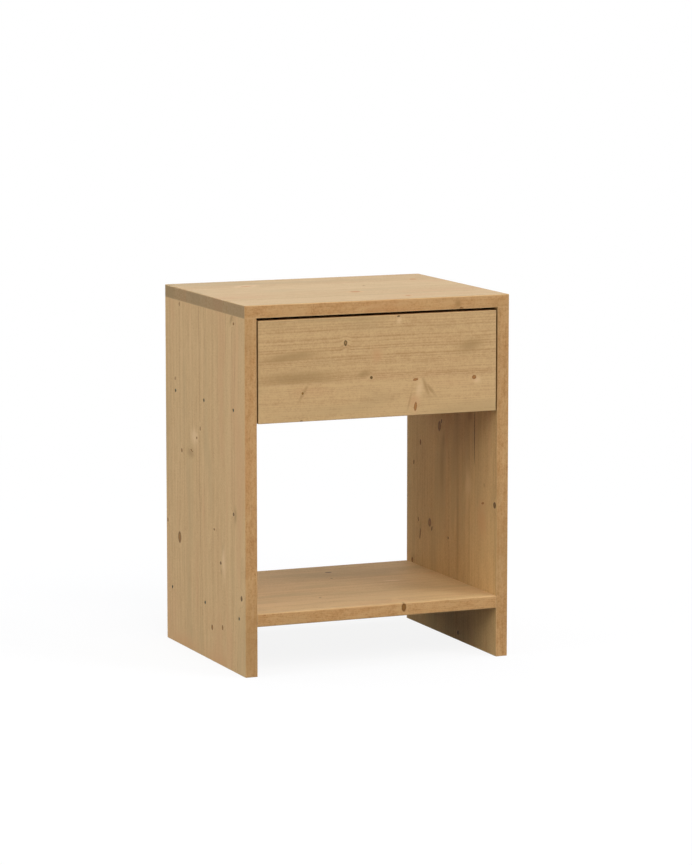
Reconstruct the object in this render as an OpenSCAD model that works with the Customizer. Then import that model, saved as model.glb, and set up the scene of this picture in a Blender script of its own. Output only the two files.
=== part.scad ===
// Nightstand with one drawer over an open shelf.
// The carcass is butt-jointed from edge-glued softwood boards: the top lies on the two sides,
// and a shelf, a deck under the drawer and a back panel stand between them.
// The drawer is a four-sided box with an applied front that closes flush between the sides.
// It runs on a pair of three-member ball-bearing runners, and is pulled by the lower edge of
// its front, which hangs below the deck.
// Millimetres, +Z up, front towards -Y, origin on the floor under the middle of the carcass.

/* [Carcass] */
// Overall width
carcass_w = 400; // [360:1:600]
// Overall depth, from front face to back face
carcass_d = 315; // [300:1:450]
// Overall height, from the floor to the top surface
carcass_h = 518; // [450:1:700]
// Thickness of the glued boards
board_t = 18; // [16:0.5:25]
// Height of the shelf's underside above the floor
shelf_z = 70; // [20:1:150]
// Radius of the eased outer arrises
arris_r = 1.6; // [0.5:0.1:3]
// Radius of the eased arrises on inner edges
inner_arris_r = 0.6; // [0.2:0.1:1.2]

/* [Drawer front] */
// Height of the drawer front
front_h = 142.5; // [130:0.5:220]
// Gap above the drawer front
front_top_gap = 4; // [1:0.5:6]
// Gap at each side of the drawer front
front_side_gap = 2; // [1:0.5:4]
// Gap between the drawer front and the deck's front edge
front_deck_gap = 1.5; // [1:0.1:4]
// How far the drawer front hangs below the deck, as a finger pull
finger_lip = 6; // [0:0.5:15]
// Radius of the drawer front's eased arrises
front_arris_r = 1; // [0.3:0.1:2]

/* [Drawer box] */
// Thickness of the box's sides, inner front and back
box_t = 12; // [12:0.5:16]
// Gap between the deck and the box
box_under_gap = 6; // [3:0.5:12]
// Gap between the box and the top panel
box_over_gap = 16.5; // [8:0.5:30]
// Radius along the top edges of the box
box_arris_r = 2; // [0.5:0.1:4]
// Thickness of the plywood bottom
bottom_t = 4; // [3:0.5:6]
// Height of the bottom's groove above the lower edge of the box
groove_z = 8; // [5:0.5:12]
// Depth of the bottom's groove
groove_depth = 6; // [3:0.5:8]
// Play of the bottom in its groove, on each side
groove_play = 0.2; // [0.1:0.05:0.5]

/* [Runners] */
// Side space that one runner fills
runner_t = 12.7; // [12.5:0.1:14]
// Height of a runner
runner_h = 45.5; // [44:0.5:54]
// Gap in front of a runner, behind the drawer front
runner_front_gap = 1.5; // [1:0.5:5]
// Gap behind a runner, in front of the back panel
runner_back_gap = 27.5; // [15:0.5:60]
// Sheet thickness of the cabinet member
cabinet_sheet = 1; // [0.8:0.1:1.2]
// Sheet thickness of the middle and drawer members
inner_sheet = 1; // [0.8:0.1:1.2]
// Diameter of the balls
ball_d = 2.8; // [2.4:0.1:3]
// Play between a ball and its raceways
ball_play = 0.12; // [0.05:0.01:0.2]
// Number of balls in one row
balls_per_row = 9; // [4:1:9]
// Distance between the balls of one row
ball_pitch = 11; // [6:0.5:11]
// Sheet thickness of the ball cages
cage_sheet = 0.4; // [0.3:0.05:0.5]
// Gap on each side of a cage's web
cage_gap = 0.25; // [0.2:0.05:0.35]
// Length of a rear buffer, with the tab that holds it
buffer_l = 8; // [6:0.5:12]

/* [Fasteners] */
// Play round a dowel, screw or plug in its hole
fit_play = 0.05; // [0.02:0.01:0.1]
// Distance from a board's edge to its outer screws
screw_inset = 24; // [15:1:40]
// Length of the screws that hold the shelf and the deck
board_screw_l = 45; // [35:1:60]
// Depth of those screws' heads below the face of the side
head_sink = 0.4; // [0.1:0.1:2]
// Diameter of the carcass dowels
dowel_d = 8; // [6:1:10]
// Length of the carcass dowels
dowel_l = 30; // [24:1:40]
// Diameter of the drawer's corner dowels
box_dowel_d = 6; // [4:1:6]
// Length of the drawer's corner dowels
box_dowel_l = 24; // [18:1:30]
// Distance from a runner's end to its outer screws
runner_screw_inset = 32; // [25:1:50]
// Length of the screws in the cabinet members
cabinet_screw_l = 15; // [12:0.5:16]
// Length of the screws in the drawer members
box_screw_l = 11; // [8:0.5:12]
// Length of the screws that hold the drawer front
front_screw_l = 25; // [20:1:27]
// Distance from the box's ends to the drawer front's screws
front_screw_inset = 50; // [30:1:80]

/* [Hidden] */
$fn = 64;
LEFT = -1;
RIGHT = 1;
SIDES = [LEFT, RIGHT];

// Colours of the oiled softwood, the plain woods and the metal parts
OILED = "#c09b6c";
OILED_SIDE = "#b89a6c";
PLAIN_WOOD = "#dcc39a";
PLYWOOD = "#d3b88c";
BEECH = "#c9a273";
DARK_STEEL = "#5d695c";
ZINC = "#b9bdc0";
BRIGHT_STEEL = "#d4d7da";
CAGE_STEEL = "#9a9ea2";
RUBBER = "#202122";

// Main faces of the carcass
half_w = carcass_w / 2;
front_y = -carcass_d / 2;
back_y = carcass_d / 2;
side_h = carcass_h - board_t;
opening_w = carcass_w - 2 * board_t;
front_z = side_h - front_top_gap - front_h;
deck_z = front_z + finger_lip;
deck_top_z = deck_z + board_t;
front_back_y = front_y + board_t;
deck_y = front_back_y + front_deck_gap;
back_panel_y = back_y - board_t;

// Drawer box
box_w = opening_w - 2 * runner_t;
box_y = front_back_y;
runner_y = front_back_y + runner_front_gap;
runner_l = back_panel_y - runner_back_gap - runner_y;
box_l = runner_l;
box_z = deck_top_z + box_under_gap;
box_h = side_h - box_over_gap - box_z;
box_mid_z = box_z + box_h / 2;
box_inner_w = box_w - 2 * box_t;
bottom_z = box_z + groove_z;
box_dowel_rise = box_h / 4;
front_screw_rise = box_h / 5;

// Screws: diameter of shank, diameter and height of head
BOARD_SCREW = [3.5, 5, 2.5];
RUNNER_SCREW = [3.5, 6.6, 1.1];
FRONT_SCREW = [4, 7.6, 2.4];
BOTTOM_SCREW = [3, 5.6, 1.4];
bottom_screw_l = 16;
runner_hole_play = 0.5;
hole_spare = 1;
dowel_chamfer = 1;
top_dowel_depth = 2 * dowel_l / 5;
box_dowel_depth = 3 * box_t / 4;

// Section of a runner's upper half: u runs from the carcass side to the box, v is the
// height above the runner's middle. The webs stand in this order along u: cabinet member,
// screw heads, outer cage, middle member, inner cage, drawer member. The middle member's
// edge is an S, with the inner row of balls below its first bend and the outer row above
// its second.
race_r = ball_d / 2 + ball_play;
race_step = (2 * race_r + inner_sheet) * cos(45);
outer_cage_u = cabinet_sheet + RUNNER_SCREW[2] + cage_gap;
middle_u = outer_cage_u + cage_sheet + cage_gap;
inner_cage_u = middle_u + inner_sheet + cage_gap;
drawer_lip_u = inner_cage_u + cage_sheet + cage_gap;
inner_row_u = drawer_lip_u + (race_r + inner_sheet) * cos(45);
outer_row_u = inner_row_u + race_step;
outer_row_v = runner_h / 2 - cabinet_sheet - race_r;
inner_row_v = outer_row_v - race_step;
bend_r = 0.8;
bend_steps = 6;
cage_hole_r = ball_d / 2 + 0.1;
cage_lift = 0.1;
cage_margin = 1;
member_l = runner_l - buffer_l;
cage_l = (balls_per_row - 1) * ball_pitch + 2 * ball_d;
cage_y = runner_y + (member_l - cage_l) / 2;
access_hole_d = 10;
buffer_tab_w = 14;
buffer_tab_rise = 8.5;
buffer_w = 24;
end_play = 0.3;

// The three places of a row of screws between a and b
function screw_row(a, b, inset) = [a + inset, (a + b) / 2, b - inset];

shelf_rows = screw_row(front_y, back_y, screw_inset);
deck_rows = screw_row(deck_y, back_panel_y, screw_inset);
top_dowel_rows = screw_row(front_y, back_y, 2 * screw_inset);
back_dowel_heights = [deck_z + (side_h - deck_z) / 4, side_h - (side_h - deck_z) / 4];
runner_rows = screw_row(runner_y, runner_y + member_l, runner_screw_inset);
box_dowel_heights = [box_mid_z - box_dowel_rise, box_mid_z + box_dowel_rise];
front_screw_places = [
    for (x = [-box_w / 2 + front_screw_inset, box_w / 2 - front_screw_inset])
        for (z = [box_mid_z - front_screw_rise, box_mid_z + front_screw_rise]) [x, z]
];
bottom_screw_places = screw_row(-box_inner_w / 2, box_inner_w / 2, front_screw_inset);
box_end_rows = [box_y + box_t / 2, box_y + box_l - box_t / 2];

// ---- placing and profiles ----

// Draws the left-hand version, or its mirror image for the right-hand side
module on_side(side) {
    if (side == LEFT) children();
    else mirror([1, 0, 0]) children();
}

// Extrudes a profile of (y, z) along +X
module along_x(l) {
    rotate([90, 0, 90]) linear_extrude(l) children();
}

// Extrudes a profile of (x, z) along +Y
module along_y(l) {
    translate([0, l, 0]) rotate([90, 0, 0]) linear_extrude(l) children();
}

// Turns something that points along +Z so that it points along +X
module point_x() {
    rotate([0, 90, 0]) children();
}

// Turns something that points along +Z so that it points along -Y
module point_front() {
    rotate([90, 0, 0]) children();
}

// What rounding takes off a corner that lies at the origin
module corner_waste(r) {
    difference() {
        translate([-1, -1]) square(r + 1);
        translate([r, r]) circle(r);
    }
}

// Rectangle with a radius for each corner: at the origin, at +x, at both, at +y
module eased_rect(w, h, radii) {
    difference() {
        square([w, h]);
        if (radii[0] > 0) corner_waste(radii[0]);
        if (radii[1] > 0) translate([w, 0]) mirror([1, 0]) corner_waste(radii[1]);
        if (radii[2] > 0) translate([w, h]) rotate(180) corner_waste(radii[2]);
        if (radii[3] > 0) translate([0, h]) mirror([0, 1]) corner_waste(radii[3]);
    }
}

// ---- fasteners, pointing along +Z from the face of the head or the end ----

// Wood screw, or its hole when grown by the play
module wood_screw(kind, l, grow = 0) {
    shank_r = kind[0] / 2 + grow;
    head_r = kind[1] / 2 + grow;
    head_h = kind[2];
    tip_l = kind[0] * 1.5;
    cylinder(r = head_r, h = head_h);
    cylinder(r = shank_r, h = l - tip_l + grow);
    translate([0, 0, l - tip_l + grow]) cylinder(r1 = shank_r, r2 = 0.3 + grow, h = tip_l);
}

// Screw with a cross recess in its head
module cross_screw(kind, l) {
    slot_l = kind[1] * 0.55;
    slot_w = kind[1] * 0.14;
    slot_h = kind[2] * 0.7;
    difference() {
        wood_screw(kind, l);
        for (turn = [0, 90])
            rotate(turn)
                translate([-slot_l / 2, -slot_w / 2, -1])
                    cube([slot_l, slot_w, slot_h + 1]);
    }
}

// Screw with a star recess in its head
module star_screw(kind, l) {
    star_r = kind[1] * 0.3;
    star_h = kind[2] * 0.6;
    difference() {
        wood_screw(kind, l);
        translate([0, 0, -1])
            linear_extrude(star_h + 1)
                for (turn = [0, 60]) rotate(turn) circle(star_r, $fn = 3);
    }
}

// Round hole for a screw's shank, open at its start
module pilot_hole(kind, l) {
    translate([0, 0, -hole_spare]) cylinder(r = kind[0] / 2 + fit_play, h = l + 2 * hole_spare);
}

// Dowel with chamfered ends
module dowel(d, l) {
    cylinder(d1 = d - 2 * dowel_chamfer, d2 = d, h = dowel_chamfer);
    translate([0, 0, dowel_chamfer]) cylinder(d = d, h = l - 2 * dowel_chamfer);
    translate([0, 0, l - dowel_chamfer])
        cylinder(d1 = d, d2 = d - 2 * dowel_chamfer, h = dowel_chamfer);
}

// Hole for a dowel, with room for glue at each end
module dowel_hole(d, l) {
    translate([0, 0, -hole_spare]) cylinder(r = d / 2 + fit_play, h = l + 2 * hole_spare);
}

// ---- carcass ----

// Puts something at each screw that goes through the left side into the shelf or the deck
module at_board_screws(rows, board_z) {
    for (y = rows) translate([-half_w, y, board_z + board_t / 2]) point_x() children();
}

// Hole for one of those screws, with the shallow well that its head leaves
module board_screw_hole() {
    translate([0, 0, -hole_spare])
        cylinder(r = BOARD_SCREW[1] / 2 + fit_play, h = head_sink + hole_spare);
    translate([0, 0, head_sink]) wood_screw(BOARD_SCREW, board_screw_l, fit_play);
}

// Puts something at each upright dowel between the left side and the top, at its lower end
module at_top_dowels() {
    for (y = top_dowel_rows)
        translate([-half_w + board_t / 2, y, side_h + top_dowel_depth - dowel_l]) children();
}

// Puts something at each level dowel between the left side and the back panel, at its start
module at_back_dowels() {
    for (z = back_dowel_heights)
        translate([-half_w + board_t - top_dowel_depth, back_y - board_t / 2, z])
            point_x() children();
}

// Puts something at each screw of the left cabinet member, on the side's inner face
module at_cabinet_screws() {
    for (y = runner_rows) translate([-opening_w / 2, y, box_mid_z]) children();
}

module side_board() {
    outer = arris_r;
    inner = inner_arris_r;
    translate([-half_w, front_y, 0])
        intersection() {
            linear_extrude(side_h) eased_rect(board_t, carcass_d, [outer, inner, inner, outer]);
            along_x(board_t) eased_rect(carcass_d, side_h, [inner, inner, 0, 0]);
            along_y(carcass_d) eased_rect(board_t, side_h, [inner, inner, 0, 0]);
        }
}

module side_panel(side) {
    color(OILED_SIDE)
        on_side(side)
            difference() {
                side_board();
                at_board_screws(shelf_rows, shelf_z) board_screw_hole();
                at_board_screws(deck_rows, deck_z) board_screw_hole();
                at_top_dowels() dowel_hole(dowel_d, dowel_l);
                at_back_dowels() dowel_hole(dowel_d, dowel_l);
                at_cabinet_screws()
                    rotate([0, -90, 0]) pilot_hole(RUNNER_SCREW, cabinet_screw_l - cabinet_sheet);
            }
}

module top_panel() {
    r = arris_r;
    color(OILED)
        difference() {
            translate([-half_w, front_y, side_h])
                intersection() {
                    linear_extrude(board_t) eased_rect(carcass_w, carcass_d, [r, r, r, r]);
                    along_x(carcass_w) eased_rect(carcass_d, board_t, [0, 0, r, r]);
                    along_y(carcass_d) eased_rect(carcass_w, board_t, [0, 0, r, r]);
                }
            for (side = SIDES) on_side(side) at_top_dowels() dowel_hole(dowel_d, dowel_l);
        }
}

// Board that lies between the sides, from y0 to y1, with its front and back edges eased
module lying_board(y0, y1, z, front_r, back_r) {
    translate([-opening_w / 2, y0, z])
        along_x(opening_w) eased_rect(y1 - y0, board_t, [front_r, back_r, back_r, front_r]);
}

module bottom_shelf() {
    color(OILED)
        difference() {
            lying_board(front_y, back_y, shelf_z, arris_r, arris_r);
            for (side = SIDES) on_side(side) at_board_screws(shelf_rows, shelf_z) board_screw_hole();
        }
}

module drawer_deck() {
    color(OILED)
        difference() {
            lying_board(deck_y, back_panel_y, deck_z, inner_arris_r, 0);
            for (side = SIDES) on_side(side) at_board_screws(deck_rows, deck_z) board_screw_hole();
        }
}

module back_panel() {
    r = inner_arris_r;
    color(OILED)
        difference() {
            translate([-opening_w / 2, back_panel_y, deck_z])
                along_x(opening_w) eased_rect(board_t, side_h - deck_z, [0, r, 0, 0]);
            for (side = SIDES) on_side(side) at_back_dowels() dowel_hole(dowel_d, dowel_l);
        }
}

module top_dowels() {
    color(BEECH) for (side = SIDES) on_side(side) at_top_dowels() dowel(dowel_d, dowel_l);
}

module back_dowels() {
    color(BEECH) for (side = SIDES) on_side(side) at_back_dowels() dowel(dowel_d, dowel_l);
}

module board_screws(rows, board_z) {
    color(DARK_STEEL)
        for (side = SIDES)
            on_side(side)
                at_board_screws(rows, board_z)
                    translate([0, 0, head_sink]) star_screw(BOARD_SCREW, board_screw_l);
}

// ---- runners ----

// Points along an arc round a centre, from angle a to angle b
function arc(centre, r, a, b) = [
    for (i = [0:bend_steps])
        centre + r * [cos(a + (b - a) * i / bend_steps), sin(a + (b - a) * i / bend_steps)]
];

// A list of points without its first one, where another list ends on that point
function rest_of(points) = [for (i = [1:len(points) - 1]) points[i]];

function reversed(points) = [for (i = [len(points) - 1:-1:0]) points[i]];

function mirrored(points) = [for (p = points) [p[0], -p[1]]];

// Outline of a bent sheet from the two faces of its upper half, each from the web to the edge
function sheet_outline(face, other_face) = concat(
    face, reversed(other_face), mirrored(other_face), reversed(mirrored(face))
);

// Extrudes a section of (u, v) to length l from y, with u starting at the left side panel
module runner_bar(y, l) {
    translate([-opening_w / 2, y, box_mid_z]) along_y(l) children();
}

// Puts something at each of a runner's screw places, in its own coordinates (u along +Z)
module at_runner_holes(u) {
    for (y = runner_rows) translate([-opening_w / 2 + u, y, box_mid_z]) point_x() children();
}

// Oblong hole along the runner, centred
module slot_hole(d, l, h) {
    cylinder(d = d, h = h);
    for (end = [-1, 1]) translate([0, end * (l - d) / 2, 0]) cylinder(d = d, h = h);
    translate([-d / 2, -(l - d) / 2, 0]) cube([d, l - d, h]);
}

module cabinet_section() {
    sheet = cabinet_sheet;
    bend = [sheet + bend_r, outer_row_v + race_r - bend_r];
    row = [outer_row_u, outer_row_v];
    inside = concat(arc(bend, bend_r, 180, 90), arc(row, race_r, 90, 0));
    outside = concat(arc(bend, bend_r + sheet, 180, 90), arc(row, race_r + sheet, 90, 0));
    polygon(sheet_outline(inside, outside));
}

module middle_section() {
    sheet = inner_sheet;
    bend = [middle_u + sheet + bend_r, inner_row_v + race_r - bend_r];
    inner = [inner_row_u, inner_row_v];
    outer = [outer_row_u, outer_row_v];
    outside = concat(
        arc(bend, bend_r + sheet, 180, 90), arc(inner, race_r + sheet, 90, 45),
        rest_of(arc(outer, race_r, 225, 320))
    );
    inside = concat(
        arc(bend, bend_r, 180, 90), arc(inner, race_r, 90, 45),
        rest_of(arc(outer, race_r + sheet, 225, 320))
    );
    polygon(sheet_outline(outside, inside));
}

module drawer_section() {
    sheet = inner_sheet;
    bend = [runner_t - sheet - bend_r, inner_row_v - race_r - sheet - bend_r];
    row = [inner_row_u, inner_row_v];
    outside = concat(arc(bend, bend_r + sheet, 0, 90), arc(row, race_r, 270, 225));
    inside = concat(arc(bend, bend_r, 0, 90), arc(row, race_r + sheet, 270, 225));
    polygon(sheet_outline(outside, inside));
}

module cabinet_member(side) {
    slot_rows = screw_row(runner_y, runner_y + member_l, 2 * runner_screw_inset);
    color(ZINC)
        on_side(side) {
            difference() {
                runner_bar(runner_y, runner_l) cabinet_section();
                at_runner_holes(-1)
                    cylinder(d = RUNNER_SCREW[0] + runner_hole_play, h = cabinet_sheet + 2);
                for (y = [slot_rows[0], slot_rows[2]])
                    translate([-opening_w / 2 - 1, y, box_mid_z])
                        point_x() slot_hole(RUNNER_SCREW[0] + runner_hole_play, 10, cabinet_sheet + 2);
            }
            translate([-opening_w / 2, runner_y + runner_l - cabinet_sheet, box_mid_z - buffer_tab_w / 2])
                cube([buffer_tab_rise, cabinet_sheet, buffer_tab_w]);
        }
}

module middle_member(side) {
    color(ZINC)
        on_side(side)
            difference() {
                runner_bar(runner_y, member_l) middle_section();
                at_runner_holes(middle_u - 1) cylinder(d = access_hole_d, h = inner_sheet + 2);
            }
}

module drawer_member(side) {
    color(ZINC)
        on_side(side)
            difference() {
                runner_bar(runner_y, member_l) drawer_section();
                at_runner_holes(runner_t - inner_sheet - 1)
                    cylinder(d = RUNNER_SCREW[0] + runner_hole_play, h = inner_sheet + 2);
            }
}

// Where ball number i of a row stands, at (u, v)
module at_ball(i, u, v) {
    translate([-opening_w / 2 + u, cage_y + ball_d + i * ball_pitch, box_mid_z + v]) children();
}

// Cage that keeps an upper and a lower row of balls: a web at web_u, and flanges whose inner
// faces lie at height edge_v and which reach to tip_u, with a hole for each ball of the row
// at row_u
module ball_cage(web_u, row_u, tip_u, edge_v) {
    difference() {
        runner_bar(cage_y, cage_l) {
            translate([web_u, -edge_v - cage_sheet])
                square([cage_sheet, 2 * (edge_v + cage_sheet)]);
            for (edge = [-1, 1])
                translate([web_u, edge * (edge_v + cage_sheet / 2) - cage_sheet / 2])
                    square([tip_u - web_u, cage_sheet]);
        }
        for (i = [0:balls_per_row - 1], edge = [-1, 1])
            at_ball(i, row_u, edge * (edge_v + cage_sheet / 2))
                cylinder(r = cage_hole_r, h = 3 * cage_sheet, center = true);
    }
}

// Upper and lower row of balls
module ball_rows(row_u, row_v) {
    for (i = [0:balls_per_row - 1], edge = [-1, 1])
        at_ball(i, row_u, edge * row_v) sphere(d = ball_d);
}

// The outer row's flange stops short of the cabinet member's lip, so its holes are notches
module outer_cage(side) {
    color(CAGE_STEEL)
        on_side(side)
            ball_cage(
                outer_cage_u, outer_row_u, outer_row_u + cage_hole_r - cage_sheet,
                outer_row_v + cage_lift
            );
}

module inner_cage(side) {
    color(CAGE_STEEL)
        on_side(side)
            ball_cage(
                inner_cage_u, inner_row_u, inner_row_u + cage_hole_r + cage_margin,
                inner_row_v - cage_lift - cage_sheet
            );
}

module outer_balls(side) {
    color(BRIGHT_STEEL) on_side(side) ball_rows(outer_row_u, outer_row_v);
}

module inner_balls(side) {
    color(BRIGHT_STEEL) on_side(side) ball_rows(inner_row_u, inner_row_v);
}

// Rubber buffer that the moving members close against
module rear_buffer(side) {
    rise = buffer_tab_rise - cabinet_sheet;
    l = buffer_l - cabinet_sheet - end_play;
    color(RUBBER)
        on_side(side)
            translate([
                -opening_w / 2 + cabinet_sheet,
                runner_y + member_l + end_play,
                box_mid_z - buffer_w / 2
            ])
                along_y(l) eased_rect(rise, buffer_w, [0, 1.5, 1.5, 0]);
}

// Screws of both cabinet members: their heads are on the sheet, inside the channel
module cabinet_member_screws() {
    head_u = cabinet_sheet + RUNNER_SCREW[2];
    color(ZINC)
        for (side = SIDES)
            on_side(side)
                for (y = runner_rows)
                    translate([-opening_w / 2 + head_u, y, box_mid_z])
                        rotate([0, -90, 0])
                            cross_screw(RUNNER_SCREW, cabinet_screw_l + RUNNER_SCREW[2]);
}

// Screws of both drawer members, into the sides of the box
module drawer_member_screws() {
    head_u = runner_t - inner_sheet - RUNNER_SCREW[2];
    color(ZINC)
        for (side = SIDES)
            on_side(side)
                at_runner_holes(head_u) cross_screw(RUNNER_SCREW, box_screw_l + RUNNER_SCREW[2]);
}

// ---- drawer ----

// Puts something at each dowel in the left corners of the box, pointing along +X
module at_box_dowels() {
    for (y = box_end_rows, z = box_dowel_heights)
        translate([-box_inner_w / 2 - box_dowel_depth, y, z]) point_x() children();
}

// Groove that holds the bottom, cut from the inner face of a box board of length l
module bottom_groove(l) {
    cube([groove_depth + 1, l, bottom_t + 2 * groove_play]);
}

module drawer_front() {
    r = front_arris_r;
    w = opening_w - 2 * front_side_gap;
    color(OILED)
        difference() {
            translate([-w / 2, front_y, front_z])
                intersection() {
                    linear_extrude(front_h) eased_rect(w, board_t, [r, r, 0, 0]);
                    along_x(w) eased_rect(board_t, front_h, [r, 0, 0, r]);
                    along_y(board_t) eased_rect(w, front_h, [r, r, r, r]);
                }
            for (p = front_screw_places)
                translate([p[0], box_y, p[1]])
                    point_front() pilot_hole(FRONT_SCREW, front_screw_l - box_t - hole_spare);
        }
}

module drawer_side(side) {
    r = box_arris_r;
    color(PLAIN_WOOD)
        on_side(side)
            difference() {
                translate([-box_w / 2, box_y, box_z])
                    along_y(box_l) eased_rect(box_t, box_h, [inner_arris_r, 0, r, r]);
                translate([-box_inner_w / 2 - groove_depth, box_y - 1, bottom_z - groove_play])
                    bottom_groove(box_l + 2);
                at_box_dowels() dowel_hole(box_dowel_d, box_dowel_l);
                for (y = runner_rows)
                    translate([-box_w / 2, y, box_mid_z])
                        point_x() pilot_hole(RUNNER_SCREW, box_screw_l - inner_sheet - hole_spare);
            }
}

module drawer_inner_front() {
    r = box_arris_r;
    color(PLAIN_WOOD)
        difference() {
            translate([-box_inner_w / 2, box_y, box_z])
                along_x(box_inner_w) eased_rect(box_t, box_h, [0, inner_arris_r, r, 0]);
            translate([-box_inner_w / 2 - 1, box_y + box_t - groove_depth, bottom_z - groove_play])
                cube([box_inner_w + 2, groove_depth + 1, bottom_t + 2 * groove_play]);
            for (side = SIDES) on_side(side) at_box_dowels() dowel_hole(box_dowel_d, box_dowel_l);
            for (p = front_screw_places)
                translate([p[0], box_y + box_t, p[1]])
                    point_front() pilot_hole(FRONT_SCREW, box_t);
        }
}

module drawer_back() {
    r = box_arris_r;
    low = bottom_z + bottom_t - box_z;
    color(PLAIN_WOOD)
        difference() {
            translate([-box_inner_w / 2, box_y + box_l - box_t, box_z + low])
                along_x(box_inner_w) eased_rect(box_t, box_h - low, [0, 0, r, r]);
            for (side = SIDES) on_side(side) at_box_dowels() dowel_hole(box_dowel_d, box_dowel_l);
            for (x = bottom_screw_places)
                translate([x, box_end_rows[1], bottom_z + bottom_t])
                    pilot_hole(BOTTOM_SCREW, bottom_screw_l - bottom_t);
        }
}

module drawer_bottom() {
    inset = groove_depth - groove_play;
    color(PLYWOOD)
        difference() {
            translate([-box_inner_w / 2 - inset, box_y + box_t - inset, bottom_z])
                cube([box_inner_w + 2 * inset, box_l - box_t + inset, bottom_t]);
            for (x = bottom_screw_places)
                translate([x, box_end_rows[1], bottom_z]) pilot_hole(BOTTOM_SCREW, bottom_t);
        }
}

module drawer_corner_dowels() {
    color(BEECH)
        for (side = SIDES) on_side(side) at_box_dowels() dowel(box_dowel_d, box_dowel_l);
}

module drawer_front_screws() {
    head_y = box_y + box_t + FRONT_SCREW[2];
    color(ZINC)
        for (p = front_screw_places)
            translate([p[0], head_y, p[1]])
                point_front() cross_screw(FRONT_SCREW, front_screw_l + FRONT_SCREW[2]);
}

module drawer_bottom_screws() {
    color(ZINC)
        for (x = bottom_screw_places)
            translate([x, box_end_rows[1], bottom_z - BOTTOM_SCREW[2]])
                cross_screw(BOTTOM_SCREW, bottom_screw_l + BOTTOM_SCREW[2]);
}

top_panel();
side_panel(LEFT);  // left_side_panel
side_panel(RIGHT);  // right_side_panel
bottom_shelf();
drawer_deck();
back_panel();
top_dowels();
back_dowels();
board_screws(shelf_rows, shelf_z);  // shelf_screws
board_screws(deck_rows, deck_z);  // deck_screws
cabinet_member(LEFT);  // left_cabinet_member
cabinet_member(RIGHT);  // right_cabinet_member
cabinet_member_screws();
rear_buffer(LEFT);  // left_rear_buffer
rear_buffer(RIGHT);  // right_rear_buffer
outer_cage(LEFT);  // left_outer_cage
outer_cage(RIGHT);  // right_outer_cage
outer_balls(LEFT);  // left_outer_balls
outer_balls(RIGHT);  // right_outer_balls
middle_member(LEFT);  // left_middle_member
middle_member(RIGHT);  // right_middle_member
inner_cage(LEFT);  // left_inner_cage
inner_cage(RIGHT);  // right_inner_cage
inner_balls(LEFT);  // left_inner_balls
inner_balls(RIGHT);  // right_inner_balls
drawer_member(LEFT);  // left_drawer_member
drawer_member(RIGHT);  // right_drawer_member
drawer_member_screws();
drawer_front();
drawer_inner_front();
drawer_side(LEFT);  // drawer_left_side
drawer_side(RIGHT);  // drawer_right_side
drawer_back();
drawer_bottom();
drawer_corner_dowels();
drawer_front_screws();
drawer_bottom_screws();
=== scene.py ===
"""Nightstand with one drawer over an open shelf: its finishes, its fasteners and the studio.

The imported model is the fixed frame. Boards keep their CAD shapes and get solid-wood finishes that
run right through them, so that knots, growth rings and glued staves agree on every face. Wood
figure is written in millimetres of the part's own frame; everything else is in metres.
"""
import logging
import math
from collections.abc import Callable
from dataclasses import dataclass
from enum import Enum
from typing import Any, NamedTuple

import bmesh
import bpy
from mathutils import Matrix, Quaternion, Vector


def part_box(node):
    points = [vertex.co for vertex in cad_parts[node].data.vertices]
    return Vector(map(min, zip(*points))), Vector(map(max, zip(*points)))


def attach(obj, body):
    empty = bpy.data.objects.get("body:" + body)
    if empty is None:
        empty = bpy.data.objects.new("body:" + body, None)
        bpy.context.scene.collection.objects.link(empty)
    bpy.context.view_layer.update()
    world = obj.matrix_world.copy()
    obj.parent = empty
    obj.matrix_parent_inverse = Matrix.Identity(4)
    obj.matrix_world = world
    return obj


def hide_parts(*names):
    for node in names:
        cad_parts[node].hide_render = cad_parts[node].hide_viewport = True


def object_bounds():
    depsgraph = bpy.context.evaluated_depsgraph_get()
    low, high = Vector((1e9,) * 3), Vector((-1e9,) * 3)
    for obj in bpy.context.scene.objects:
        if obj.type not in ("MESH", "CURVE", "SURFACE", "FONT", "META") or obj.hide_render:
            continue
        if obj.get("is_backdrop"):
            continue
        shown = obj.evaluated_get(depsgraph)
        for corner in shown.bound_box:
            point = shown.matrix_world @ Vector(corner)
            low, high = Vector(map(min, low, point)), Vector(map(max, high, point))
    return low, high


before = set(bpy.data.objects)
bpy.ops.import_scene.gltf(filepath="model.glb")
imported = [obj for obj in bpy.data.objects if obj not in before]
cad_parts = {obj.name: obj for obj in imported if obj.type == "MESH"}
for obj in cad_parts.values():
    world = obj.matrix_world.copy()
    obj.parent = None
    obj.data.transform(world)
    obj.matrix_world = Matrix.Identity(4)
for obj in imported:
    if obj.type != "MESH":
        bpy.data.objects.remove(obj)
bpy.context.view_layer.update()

MILLIMETRES = 1000.0
MERGE_REACH = 0.00001
END_REACH = 0.0002
GOLDEN_TURN = math.pi * (3 - math.sqrt(5))
WHITE = (1.0, 1.0, 1.0, 1.0)
SRGB_KNEE, SRGB_SLOPE, SRGB_OFFSET, SRGB_POWER = 0.04045, 12.92, 0.055, 2.4

log = logging.getLogger("nightstand")

Colour = tuple[float, float, float]
Triple = tuple[float, float, float]
Socket = bpy.types.NodeSocket
Material = bpy.types.Material
Piece = bpy.types.Object


def linear(colour: Colour) -> tuple[float, float, float, float]:
    """Turns an sRGB colour of numbers up to 255 into the linear one that shaders take."""
    parts = [
        share / SRGB_SLOPE if share <= SRGB_KNEE
        else ((share + SRGB_OFFSET) / (1 + SRGB_OFFSET)) ** SRGB_POWER
        for share in (part / 255 for part in colour)
    ]
    return (*parts, 1.0)


class Axis(Enum):
    """One axis of the part's frame."""

    X = 0
    Y = 1
    Z = 2


X, Y, Z = Axis


class Side(Enum):
    """One side of the nightstand, by the word that its nodes' names start with."""

    LEFT = "left"
    RIGHT = "right"


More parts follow.
